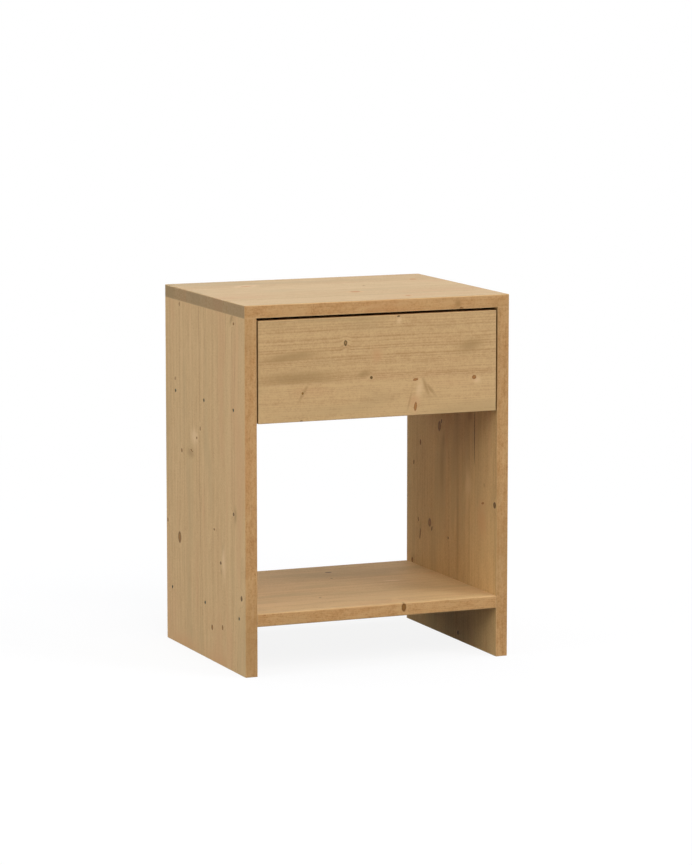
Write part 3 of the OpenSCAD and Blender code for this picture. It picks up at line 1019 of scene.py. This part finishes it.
class Seat(NamedTuple):
    """Where one fastener sits in the frame.

    Attributes:
        start: Middle of its wider end, where a screw has its head.
        end: Middle of its other end.
    """

    start: Vector
    end: Vector

    @classmethod
    def of_solid(cls, solid: Piece) -> "Seat":
        """Reads the seat of one fastener, which lies along an axis of the frame.

        Args:
            solid: The fastener.

        Returns:
            Its seat.
        """
        points = [vertex.co for vertex in solid.data.vertices]
        low, high = (Vector(map(pick, zip(*points))) for pick in (min, max))
        axis = max(range(3), key=lambda i: high[i] - low[i])
        ends = []
        for level in (low[axis], high[axis]):
            middle = (low + high) / 2
            middle[axis] = level
            near = [point for point in points if abs(point[axis] - level) < END_REACH]
            ends.append((-max((point - middle).length for point in near), middle))
        return cls(*(middle for _, middle in sorted(ends, key=lambda end: end[0])))

    @property
    def length(self) -> float:
        """Length of the fastener."""
        return (self.end - self.start).length

    def set_down(self, model: Piece, name: str, turn: float) -> Piece:
        """Copies a model that stands up from the origin into the seat.

        Args:
            model: Fastener modelled along +Z.
            name: Name of the copy.
            turn: Turn about its own axis, in radians.

        Returns:
            The copy, with its place in its mesh.
        """
        copy = model.copy()
        copy.data = model.data.copy()
        copy.name = name
        bpy.context.scene.collection.objects.link(copy)
        copy.rotation_mode = "QUATERNION"
        lie = (self.end - self.start).to_track_quat("Z", "Y")
        copy.rotation_quaternion = lie @ Quaternion((0.0, 0.0, 1.0), turn)
        copy.location = self.start
        activate(copy)
        apply_transform()
        return copy


def seats_of(node: str) -> list[Seat]:
    """Reads where each fastener of a node sits.

    Args:
        node: Name of a node that is a group of separate solids.

    Returns:
        The seats, in the order of their places.
    """
    twin = bpy.data.objects.new(f"{node}_twin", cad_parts[node].data.copy())
    bpy.context.scene.collection.objects.link(twin)
    bench = Bench(twin)
    bpy.ops.mesh.select_all(action="SELECT")
    bpy.ops.mesh.remove_doubles(threshold=MERGE_REACH)
    bpy.ops.mesh.separate(type="LOOSE")
    bench.close()
    solids = list(bpy.context.selected_objects)
    seats = [Seat.of_solid(solid) for solid in solids]
    for solid in solids:
        bpy.data.meshes.remove(solid.data)
    return sorted(seats, key=lambda seat: [round(part, 4) for part in seat.start])


class Recess(Enum):
    """Drive recess in a screw's head: number of lobes, vertices in each, and width between them."""

    STAR = (6, 4, 0.72)
    CROSS = (4, 8, 0.34)

    def between(self, reach: float) -> Callable[[Vector], bool]:
        """Makes a test for the points on the recess's mouth that lie between its lobes.

        Args:
            reach: Radius of the mouth, or a little more.

        Returns:
            The test.
        """
        lobes, vertices, _ = self.value
        tip_vertices = 3
        widest = math.tau / lobes / vertices * tip_vertices / 2
        return lambda point: (
            point.z <= MERGE_REACH
            and point.xy.length <= reach
            and abs(off_nearest(point, lobes)) > widest
        )


def off_nearest(point: Vector, parts: int) -> float:
    """Angle round the Z axis from a place to the nearest of equal parts of a turn."""
    pitch = math.tau / parts
    return (math.atan2(point.y, point.x) + pitch / 2) % pitch - pitch / 2


@dataclass(frozen=True)
class WoodScrew:
    """Wood screw with a drive recess, a rolled thread and a pointed tip.

    Attributes:
        shank: Outer diameter of the thread.
        head: Diameter of the head.
        head_height: Height of the head.
        recess: Its drive.
        rim: Height of the straight part of the head, before it tapers to the shank.
        dome: Rounding of the head's face.
        pitch: Rise of the thread in one turn.
    """

    shank: float
    head: float
    head_height: float
    recess: Recess
    rim: float
    dome: float = 0.0
    pitch: float = 0.0016

    # Shares of the shank: its core and its tip. Of the head: the recess's mouth, depth and floor.
    CORE, TIP = 0.68, 1.5
    MOUTH, RECESS_DEPTH, RECESS_FLOOR = 0.60, 0.6, 0.85
    # Share of the length that is threaded, how far the thread reaches up the tip, and the ridge's
    # radius and place as shares of its height.
    THREADED, ON_TIP = 0.92, 0.15
    RIDGE, RIDGE_OUT = 0.77, 0.23
    STEPS = 12
    SLACK = 1.05
    SMOOTH = math.radians(35)

    def model(self, length: float) -> Piece:
        """Models one screw up from the origin, with the face of its head at the bottom.

        Args:
            length: Whole length of the screw.

        Returns:
            The screw.
        """
        thread = self._thread(length)
        body = self._body(length)
        activate(body, thread)
        bpy.ops.object.join()
        bpy.ops.object.shade_smooth_by_angle(angle=self.SMOOTH)
        return body

    def _body(self, length: float) -> Piece:
        """Models the head with its recess, then the core with its tip."""
        lobes, vertices, notch = self.recess.value
        radius = self.head / 2
        mouth = radius * self.MOUTH
        tip = self.shank * self.TIP
        bench = cylinder(lobes * vertices, radius, self.rim, self.rim / 2)
        bench.pick_end(up=True)
        bench.extrude(self.head_height - self.rim, self.shank * self.CORE / self.head)
        bench.extrude(length - self.head_height - tip)
        bench.extrude(tip)
        bpy.ops.mesh.merge(type="CENTER")
        bench.pick_end(up=False)
        if self.dome:
            bpy.ops.mesh.bevel(offset=self.dome, segments=3, affect="EDGES")
            bench.pick_end(up=False)
        bpy.ops.mesh.inset(thickness=radius - self.dome - mouth)
        bench.pick_points(self.recess.between(mouth * self.SLACK))
        bench.widen(notch)
        bench.pick_end(up=False, within=mouth * self.SLACK)
        bench.extrude(self.head_height * self.RECESS_DEPTH, self.RECESS_FLOOR)
        return bench.close()

    def _thread(self, length: float) -> Piece:
        """Models the rolled ridge that winds up the core and runs out on the tip."""
        core = self.shank * self.CORE / 2
        ridge = self.shank / 2 - core
        tip = self.shank * self.TIP
        turns = int((length - self.head_height) * self.THREADED / self.pitch)
        start = length - tip * self.ON_TIP - turns * self.pitch
        bpy.ops.mesh.primitive_circle_add(
            vertices=3,
            radius=ridge * self.RIDGE,
            location=(core + ridge * self.RIDGE_OUT, 0, start),
            rotation=(math.pi / 2, math.pi / 2, 0),
        )
        apply_transform()
        piece = bpy.context.object
        winding = piece.modifiers.new("winding", "SCREW")
        winding.axis = "Z"
        winding.angle = math.tau
        winding.screw_offset = self.pitch
        winding.iterations = turns
        winding.steps = self.STEPS
        winding.render_steps = self.STEPS
        bpy.ops.object.modifier_apply(modifier=winding.name)
        bench = Bench(piece)
        bpy.ops.mesh.select_mode(type="EDGE")
        bpy.ops.mesh.select_all(action="DESELECT")
        bpy.ops.mesh.select_non_manifold()
        bpy.ops.mesh.merge(type="COLLAPSE")
        width = 1.0
        for step in range(self.STEPS):
            level = length - tip + tip * step / self.STEPS
            narrower = 1 - (step + 0.5) / self.STEPS
            bench.pick_points(lambda point, level=level: point.z > level)
            bench.widen(narrower / width)
            width = narrower
        bpy.ops.mesh.select_all(action="SELECT")
        bpy.ops.mesh.normals_make_consistent(inside=False)
        return bench.close()


@dataclass(frozen=True)
class FlutedDowel:
    """Dowel with glue flutes along it and chamfered ends.

    Attributes:
        width: Its diameter.
        chamfer: Size of the chamfers.
        flutes: Number of flutes.
        flute: Depth of a flute, as a share of the radius.
    """

    width: float
    chamfer: float = 0.001
    flutes: int = 18
    flute: float = 0.09

    SMOOTH = math.radians(30)

    def model(self, length: float) -> Piece:
        """Models one dowel up from the origin.

        Args:
            length: Its length.

        Returns:
            The dowel.
        """
        straight = length - 2 * self.chamfer
        bench = cylinder(3 * self.flutes, self.width / 2, straight, length / 2)
        quarter = math.tau / self.flutes / 4
        bench.pick_points(lambda point: abs(off_nearest(point, self.flutes)) < quarter)
        bench.widen(1 - self.flute)
        narrower = 1 - 2 * self.chamfer / self.width
        for up in (True, False):
            bench.pick_end(up)
            bench.extrude(self.chamfer if up else -self.chamfer, narrower)
        bench.close()
        bpy.ops.object.shade_smooth_by_angle(angle=self.SMOOTH)
        return bench.piece


BOARD_SCREW = WoodScrew(0.0035, 0.005, 0.0025, Recess.STAR, 0.0012)
RUNNER_SCREW = WoodScrew(0.0035, 0.0066, 0.0011, Recess.CROSS, 0.0011, 0.0004, pitch=0.0013)
FRONT_SCREW = WoodScrew(0.004, 0.0076, 0.0024, Recess.CROSS, 0.0024, 0.0009)
BOTTOM_SCREW = WoodScrew(0.003, 0.0056, 0.0014, Recess.CROSS, 0.0014, 0.0005, pitch=0.0012)
BOARD_DOWEL = FlutedDowel(0.008)
BOX_DOWEL = FlutedDowel(0.006)


@dataclass(frozen=True)
class Fixing:
    """One node of plain fasteners, and the modelled ones that stand for it.

    Attributes:
        node: Name of the node.
        fastener: What to model.
        body: Body that they ride on.
        slot: The record's material slot. Not used.
        finish: Their finish.
    """

    node: str
    fastener: WoodScrew | FlutedDowel
    body: str
    slot: str
    finish: Plate | DowelWood

    def build(self) -> list[str]:
        """Puts a modelled fastener in each seat of the node.

        Returns:
            Names of the new pieces.
        """
        seats = seats_of(self.node)
        model = self.fastener.model(seats[0].length)
        model.data.materials.clear()
        model.data.materials.append(self.finish.material(self.node))
        names = []
        for index, seat in enumerate(seats):
            piece = seat.set_down(model, f"{self.node[:-1]}_{index + 1}", index * GOLDEN_TURN)
            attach(piece, self.body)
            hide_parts(self.node)
            names.append(piece.name)
        bpy.data.meshes.remove(model.data)
        return names


# ---- boards ----

CARCASS_BOARDS = (
    Board(
        "top_panel", X, Y, 11.0,
        staves=(
            Stave(-96, (-190, -60), 0.62), Stave(-12, (120, 70), 0.48), Stave(70, (-60, -95), 0.6),
            Stave(158, (160, 55), 0.36),
        ),
        figures=figures(
            Z, 518,
            amber=[
                (12, -46, 7, 5, 9), (-104, 82, 12, 2.6, 7, 20), (159, 85, 5, 4, 9),
                (60, -122, 4, 3, 12),
            ],
            blush=[(4, -44, 22, 5, 9)],
            pale=[(-104, 84, 22, 12, 9, 35)],
            brown=[(56, 27, 2.0, 2.0, 12)],
        )
        + figures(Y, -157, brown=[(126, 501, 3, 8, 1.5)], shade=[(121, 507, 5, 9, 7)]),
        # Tint: partly the top's own tone, partly painted light that pales and cools it like a sheen.
        tint=(0.91, 0.98, 1.13),
    ),
    Board(
        "left_side_panel", Z, Y, 23.0,
        staves=(
            Stave(-86, (-150, 80), 0.56), Stave(24, (40, -98), 0.5, 2.2),
            Stave(158, (190, 70), 0.48, 2.9),
        ),
        figures=figures(
            X, -200,
            brown=[
                (98, 495, 11, 1.8, 3), (-116, 489, 11, 2.6, 2), (117, 386, 13, 1.9, 2.4),
                (16, 326, 13, 1.8, 3), (30, 311, 13, 2.4, 1.8), (91, 285, 13, 2.6, 3),
                (51, 290, 10, 5, 1.2, 18), (151, 175, 10, 2.6, 3), (102, 157, 15, 6, 8),
                (-38, 190, 13, 3, 1.6), (-28, 48, 13, 3.4, 3.8), (-69, 55, 13, 2.8, 3.4),
            ],
            shade=[
                (-108, 495, 8, 4, 10, 38), (54, 287, 9, 14, 7), (-120, 222, 9, 6, 12),
                (-72, 166, 9, 5, 10), (-66, 134, 10, 3, 5),
            ],
            pale=[(38, 312, 10, 16, 12), (-74, 150, 9, 8, 26)],
            dark=[(-114, 223, 11, 3, 2.4), (-63, 146, 13, 3, 2.2), (-143, 109, 11, 3.4, 3.6)],
            blush=[(-70, 0, 30, 90, 20), (80, 4, 30, 60, 16)],
        ),
        # Tint: partly the panel's own tone, partly painted light.
        tint=(1.04, 1.07, 1.12),
    ),
    Board(
        "right_side_panel", Z, Y, 37.0,
        staves=(
            Stave(-128, (-120, 80), 0.4), Stave(-84.5, (70, -75), 0.52),
            Stave(-33, (-140, -60), 0.58), Stave(16, (100, 70), 0.4),
            Stave(158, (-170, -80), 0.52),
        ),
        figures=figures(
            X, 182,
            shade=[
                (37, 308, 13, 9, 11, 10), (31, 334, 9, 3.4, 16), (26, 284, 9, 5, 15, 8),
                (30, 248, 13, 8, 44), (-26, 172, 13, 4, 74), (-66, 338, 12, 9, 12),
                (-116, 241, 9, 3, 3), (72, 156, 13, 11, 12), (108, 143, 9, 4, 13, 12),
                (134, 94, 12, 8, 9),
            ],
            brown=[
                (40, 306, 12, 5, 7, 14), (108, 273, 13, 2.4, 4), (132, 240, 10, 2, 3.4, 20),
                (74, 158, 13, 5, 6, 14), (108, 136, 10, 2, 8, 12), (115, 157, 10, 1.6, 3.4, -24),
                (137, 92, 12, 3, 4),
            ],
            dark=[
                (33, 314, 8, 1.6, 3.4, 24), (-82, 305, 3, 1.1, 36), (-151, 217, 5, 4.2, 4.4),
                (66, 150, 9, 1.8, 3.6, 24), (8, 145, 13, 1.8, 2.2), (-28, 11, 12, 2.6, 3),
            ],
            pale=[(-60, 236, 9, 10, 26)],
            blush=[(-108, 188, 12, 15, 26)],
            red=[(-111, 214, 9, 4.4, 1.6, -12)],
        ),
        # Tint: partly the panel's own tone, partly painted light that brightens and warms its shaded
        # inner face.
        tint=(1.08, 1.06, 0.95),
    ),
    Board(
        "bottom_shelf", X, Y, 41.0,
        staves=(
            Stave(-62, (-130, -85), 0.68), Stave(48, (60, 90), 0.55), Stave(158, (150, -70), 0.45),
        ),
        figures=figures(
            Z, 88,
            dark=[(34, 107, 5, 3, 11), (19, 59, 1.7, 1.7, 9), (-54, -75, 1.7, 1.7, 10)],
            pale=[(96, 10, 18, 5, 7, -8)],
        )
        + figures(Y, -157, brown=[(39, 82, 3.4, 10, 6)]),
        # Tint: partly the shelf's own tone, partly painted light that brightens it under the drawer.
        tint=(1.08, 1.08, 1.06),
    ),
    Board(
        "drawer_deck", X, Y, 53.0,
        staves=(
            Stave(-50, (-140, 80), 0.52), Stave(44, (50, -90), 0.44), Stave(140, (150, 75), 0.56),
        ),
        figures=figures(
            Z, 368,
            brown=[(-92, -78, 5, 4, 12)],
            dark=[(64, 12, 3, 3, 12)],
            red=[(-24, 84, 6, 4, 12)],
            shade=[(128, -36, 22, 7, 12)],
        ),
    ),
    Board(
        "back_panel", X, Z, 67.0,
        staves=(
            Stave(404, (-110, 85), 0.56), Stave(452, (130, -70), 0.46),
            Stave(500, (-70, -90), 0.6),
        ),
        figures=figures(
            Y, 148,
            dark=[(-118, 436, 4, 12, 3.4), (96, 474, 3, 12, 2.4)],
            brown=[(22, 382, 7, 12, 5)],
            blush=[(34, 384, 30, 10, 8)],
            shade=[(140, 410, 26, 10, 7)],
        ),
    ),
)

LATH = Stave(484, (60, 90), 0.55)
OTHER_LATH = Stave(484, (-90, -85), 0.6)
DRAWER_BOARDS = (
    Board(
        "drawer_front", X, Z, 71.0,
        staves=(
            Stave(406, (-190, 62), 0.66, 2.5), Stave(498, (195, 66), 0.46, 3.6),
        ),
        figures=figures(
            Y, -157,
            ringed=[(-50, 460, 2.3, 10, 3.8)],
            dark=[(30, 494, 2, 10, 1.2), (-11, 410, 2, 10, 2.2)],
            pale=[(31, 487, 4, 8, 5), (61, 388, 6, 8, 18, 14), (151, 399, 6, 8, 5)],
            shade=[
                (-22, 416, 11, 8, 5, -14), (72, 393, 2.8, 8, 14, -20), (79, 389, 2.4, 8, 11, -40),
                (47, 374, 1.4, 8, 12, 14), (-113, 393, 2.4, 8, 13, 32), (-130, 444, 42, 8, 6, -4),
                (139, 448, 20, 8, 9, -10), (-120, 414, 60, 8, 9),
            ],
            red=[
                (56, 404, 4, 10, 1.8, -12), (56, 366, 2.2, 10, 6, 6),
                (146, 403, 3.2, 10, 2.8, -20),
            ],
            blush=[(55, 373, 8, 8, 11, 8), (-3, 441, 8, 8, 11)],
            brown=[(-114, 393, 1.4, 10, 1.8), (-116, 354, 2.2, 10, 1.5)],
        ),
        sway=3.0,
    ),
    Board(
        "drawer_inner_front", X, Z, 83.0,
        staves=(LATH,),
        figures=figures(Y, -133, brown=[(-70, 452, 3, 10, 4)], red=[(94, 416, 2.4, 10, 2.4)]),
        wood=PLAIN_SPRUCE,
    ),
    Board(
        "drawer_left_side", Y, Z, 97.0,
        staves=(OTHER_LATH,),
        figures=figures(X, -163, brown=[(-20, 448, 10, 3.4, 4)]),
        wood=PLAIN_SPRUCE,
    ),
    Board(
        "drawer_right_side", Y, Z, 103.0,
        staves=(LATH,),
        figures=figures(X, 163, brown=[(46, 462, 10, 3, 3)], red=[(-74, 420, 10, 5, 3)]),
        wood=PLAIN_SPRUCE,
    ),
    Board(
        "drawer_back", X, Z, 109.0,
        staves=(OTHER_LATH,),
        figures=figures(Y, 104, dark=[(42, 440, 2.6, 10, 3)]),
        wood=PLAIN_SPRUCE,
    ),
)


# ---- sub-assemblies ----


@dataclass
class Joinery:
    """Boards, and the dowels and screws that hold them.

    Attributes:
        boards: The boards.
        fixings: Their dowels and screws.
    """

    boards: tuple[Board, ...] = ()
    fixings: tuple[Fixing, ...] = ()

    def build(self) -> list[str]:
        """Dresses the boards, and models the fixings.

        Returns:
            Names of the pieces.
        """
        for board in self.boards:
            dress(board.node, Pattern(board).material())
        pieces = [board.node for board in self.boards]
        for fixing in self.fixings:
            pieces += fixing.build()
        return pieces


@dataclass
class Carcass(Joinery):
    """Top, sides, shelf, deck and back, with the dowels and screws that hold them."""

    boards: tuple[Board, ...] = CARCASS_BOARDS
    fixings: tuple[Fixing, ...] = (
        Fixing("top_dowels", BOARD_DOWEL, "carcass", "beech", DowelWood(Z)),
        Fixing("back_dowels", BOARD_DOWEL, "carcass", "beech", DowelWood(X)),
        Fixing("shelf_screws", BOARD_SCREW, "carcass", "dark_screw_steel", SHADOWED_SCREW_STEEL),
        Fixing("deck_screws", BOARD_SCREW, "carcass", "dark_screw_steel", SHADOWED_SCREW_STEEL),
    )


@dataclass
class Drawer(Joinery):
    """Applied front and four-sided box with a grooved-in bottom.

    Attributes:
        bottom: Finish of the bottom.
    """

    boards: tuple[Board, ...] = DRAWER_BOARDS
    fixings: tuple[Fixing, ...] = (
        Fixing("drawer_corner_dowels", BOX_DOWEL, "drawer", "beech", DowelWood(X)),
        Fixing("drawer_front_screws", FRONT_SCREW, "drawer", "zinc_screw_steel", BRIGHT_ZINC),
        Fixing("drawer_bottom_screws", BOTTOM_SCREW, "drawer", "zinc_screw_steel", BRIGHT_ZINC),
    )
    bottom: Plywood = Plywood()

    def build(self) -> list[str]:
        """Dresses the bottom, and then builds the rest.

        Returns:
            Names of the pieces.
        """
        node = "drawer_bottom"
        dress(node, self.bottom.material(node))
        return [node, *super().build()]


@dataclass
class RunnerScrews(Joinery):
    """The screws of both runners, in the carcass and in the drawer's sides."""

    fixings: tuple[Fixing, ...] = (
        Fixing("cabinet_member_screws", RUNNER_SCREW, "carcass", "zinc_screw_steel", BRIGHT_ZINC),
        Fixing("drawer_member_screws", RUNNER_SCREW, "drawer", "zinc_screw_steel", BRIGHT_ZINC),
    )


@dataclass
class Runner:
    """One ball-bearing runner of three members, with its cages, balls and rear buffer.

    Attributes:
        side: Side of the drawer that it carries.
        sheet: Finish of the rolled members.
        cage: Finish of the cages.
        ball: Finish of the balls.
        rubber: Finish of the buffer.
    """

    side: Side
    sheet: Plate = RUNNER_ZINC
    cage: Plate = CAGE_PLATE
    ball: Plate = BALL_STEEL
    rubber: Rubber = Rubber()

    def build(self) -> list[str]:
        """Dresses the runner's pieces.

        Returns:
            Names of the dressed nodes.
        """
        finishes = {
            "cabinet_member": self.sheet,
            "middle_member": self.sheet,
            "drawer_member": self.sheet,
            "outer_cage": self.cage,
            "inner_cage": self.cage,
            "outer_balls": self.ball,
            "inner_balls": self.ball,
            "rear_buffer": self.rubber,
        }
        nodes = [f"{self.side.value}_{piece}" for piece in finishes]
        for node, finish in zip(nodes, finishes.values()):
            dress(node, finish.material(node))
        return nodes


# ---- studio ----


class Tone(Enum):
    """Linear colour of a lamp."""

    PLAIN = (1.01, 1.0, 1.01)
    SOFT = (1.02, 1.0, 0.92)
    COOL = (0.98, 1.0, 1.09)
    SKY = (0.95, 1.0, 1.08)


class Softbox(NamedTuple):
    """One square soft lamp.

    Attributes:
        name: What its name starts with.
        at: Where it hangs.
        width: Its side.
        watts: Its power.
        tone: Its colour.
    """

    name: str
    at: Triple
    width: float
    watts: float
    tone: Tone

    def hang(self, towards: Vector) -> str:
        """Hangs the lamp.

        Args:
            towards: Point that it faces.

        Returns:
            The lamp's name.
        """
        name = f"{self.name}_softbox"
        data = bpy.data.lights.new(name, "AREA")
        data.shape = "SQUARE"
        data.size = self.width
        data.energy = self.watts
        data.color = self.tone.value
        lamp = bpy.data.objects.new(name, data)
        lamp.location = self.at
        lamp.rotation_mode = "QUATERNION"
        lamp.rotation_quaternion = (towards - Vector(self.at)).to_track_quat("-Z", "Y")
        lamp.visible_camera = False
        bpy.context.scene.collection.objects.link(lamp)
        return name


@dataclass
class Studio:
    """Pale floor, white surroundings, soft lamps and the camera.

    Attributes:
        floor_width: Side of the floor.
        floor_grey: Brightness of the floor as the light on the object meets it.
        floor_white: Share of the floor that the camera sees as plain white.
        ambient: Strength of the light from all round.
        camera_at: Where the camera stands.
        azimuth: Direction that the camera looks in, in degrees from +Y towards -X.
        elevation: Height of the camera's view over the horizon, in degrees.
        lens: Focal length in millimetres on a sensor 36 mm long.
        lamps: The soft lamps.
    """

    floor_width: float = 60.0
    floor_grey: float = 124
    floor_white: float = 0.88
    ambient: float = 0.004
    camera_at: Triple = (-2.0475, -4.9018, 1.0695)
    azimuth: float = -22.84
    elevation: float = 8.12
    lens: float = 156.0
    lamps: tuple[Softbox, ...] = (
        Softbox("high_front", (-1.2, -12.8, 12.2), 8.0, 1300.0, Tone.PLAIN),
        Softbox("front_left", (-6.4, -6.8, 4.8), 4.4, 70.0, Tone.SOFT),
        Softbox("front_right", (5.6, -6.8, 3.0), 3.4, 310.0, Tone.PLAIN),
        Softbox("high_right", (5.2, -4.0, 5.7), 4.0, 172.0, Tone.COOL),
        Softbox("left", (-8.4, -0.8, 3.1), 4.4, 250.0, Tone.COOL),
        Softbox("low_left", (-9.0, -1.5, 1.2), 2.4, 125.0, Tone.SOFT),
        Softbox("back_left", (-5.8, 5.8, 3.0), 3.4, 128.0, Tone.SOFT),
        Softbox("low_back", (0.5, 8.2, 1.2), 2.4, 235.0, Tone.SOFT),
        Softbox("top", (0.4, 0.4, 6.9), 4.8, 224.0, Tone.SKY),
    )

    PALE, PALER = (240, 240, 240), (247, 247, 247)
    CLOUD = Noise(0.0012, 3.0)
    FADE = (0.5, 2.2)
    SENSOR = 36.0
    FAR = 100.0

    def build(self) -> list[str]:
        """Sets up the studio.

        Returns:
            Names of what was made.
        """
        low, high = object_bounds()
        middle = (low + high) / 2
        floor = self._floor(low.z)
        self._world()
        lamps = [lamp.hang(middle) for lamp in self.lamps]
        self._camera()
        bpy.context.scene.view_settings.view_transform = "Standard"
        return [floor, *lamps, "camera"]

    @staticmethod
    def _finish(graph: Graph, kind: str, light: Any, shown: Any) -> None:
        """Lets the camera see one shader, straight or by reflection, and the object another.

        Args:
            graph: Graph of the floor or the surroundings.
            kind: Kind of its output node.
            light: Shader that lights the object.
            shown: Shader that is seen.
        """
        outputs = graph.node("LightPath").outputs
        camera, glossy, clear = (
            Value(graph, outputs[f"Is {ray} Ray"]) for ray in ("Camera", "Glossy", "Transmission")
        )
        seen = camera.most(glossy).most(clear)
        graph.node(kind, {0: graph.node("MixShader", {0: seen, 1: light, 2: shown})})

    def _floor(self, level: float) -> str:
        """Lays the floor under the object's feet.

        Args:
            level: Height of the feet.

        Returns:
            The floor's name.
        """
        bpy.ops.mesh.primitive_plane_add(size=self.floor_width, location=(0, 0, level))
        floor = bpy.context.object
        floor.name = "studio_floor"
        graph = Graph.of_material("studio_floor_paint")
        cloud = graph.noise(graph.place(), self.CLOUD)
        paint = graph.mix(cloud * 0.3, linear(self.PALER), linear(self.PALE))
        shadowed = graph.node("BsdfDiffuse", {"Color": paint})
        white = graph.node("Emission", {"Color": WHITE, "Strength": 1.0})
        far = (graph.length(graph.place()) / MILLIMETRES).rise(*self.FADE)
        whiteness = self.floor_white + far * (1 - self.floor_white)
        shown = graph.node("MixShader", {0: whiteness, 1: shadowed, 2: white})
        bounced = graph.node("BsdfDiffuse", {"Color": linear((self.floor_grey,) * 3)})
        self._finish(graph, "OutputMaterial", bounced, shown)
        floor.data.materials.append(graph.material)
        floor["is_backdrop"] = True
        return floor.name

    def _world(self) -> None:
        """Sets a white surrounding that lights the object more softly than it looks."""
        world = bpy.data.worlds.new("studio_surroundings")
        world.use_nodes = True
        bpy.context.scene.world = world
        graph = Graph(world.node_tree)
        light, shown = (
            graph.node("Background", {"Color": WHITE, "Strength": strength})
            for strength in (self.ambient, 1.0)
        )
        self._finish(graph, "OutputWorld", light, shown)

    def _camera(self) -> None:
        """Stands the camera up."""
        data = bpy.data.cameras.new("camera")
        data.lens = self.lens
        data.sensor_width = self.SENSOR
        data.sensor_fit = "AUTO"
        data.clip_end = self.FAR
        camera = bpy.data.objects.new("camera", data)
        camera.location = self.camera_at
        camera.rotation_euler = (math.radians(90 - self.elevation), 0.0, math.radians(self.azimuth))
        bpy.context.scene.collection.objects.link(camera)
        bpy.context.scene.camera = camera


def main() -> None:
    """Builds the sub-assemblies in order, then the studio."""
    logging.basicConfig(level=logging.INFO, format="%(name)s: %(message)s")
    runners = [Runner(side) for side in Side]
    for assembly in (Carcass(), Drawer(), *runners, RunnerScrews(), Studio()):
        for piece in assembly.build():
            log.info("%s: %s", type(assembly).__name__, piece)


if __name__ == "__main__":
    main()
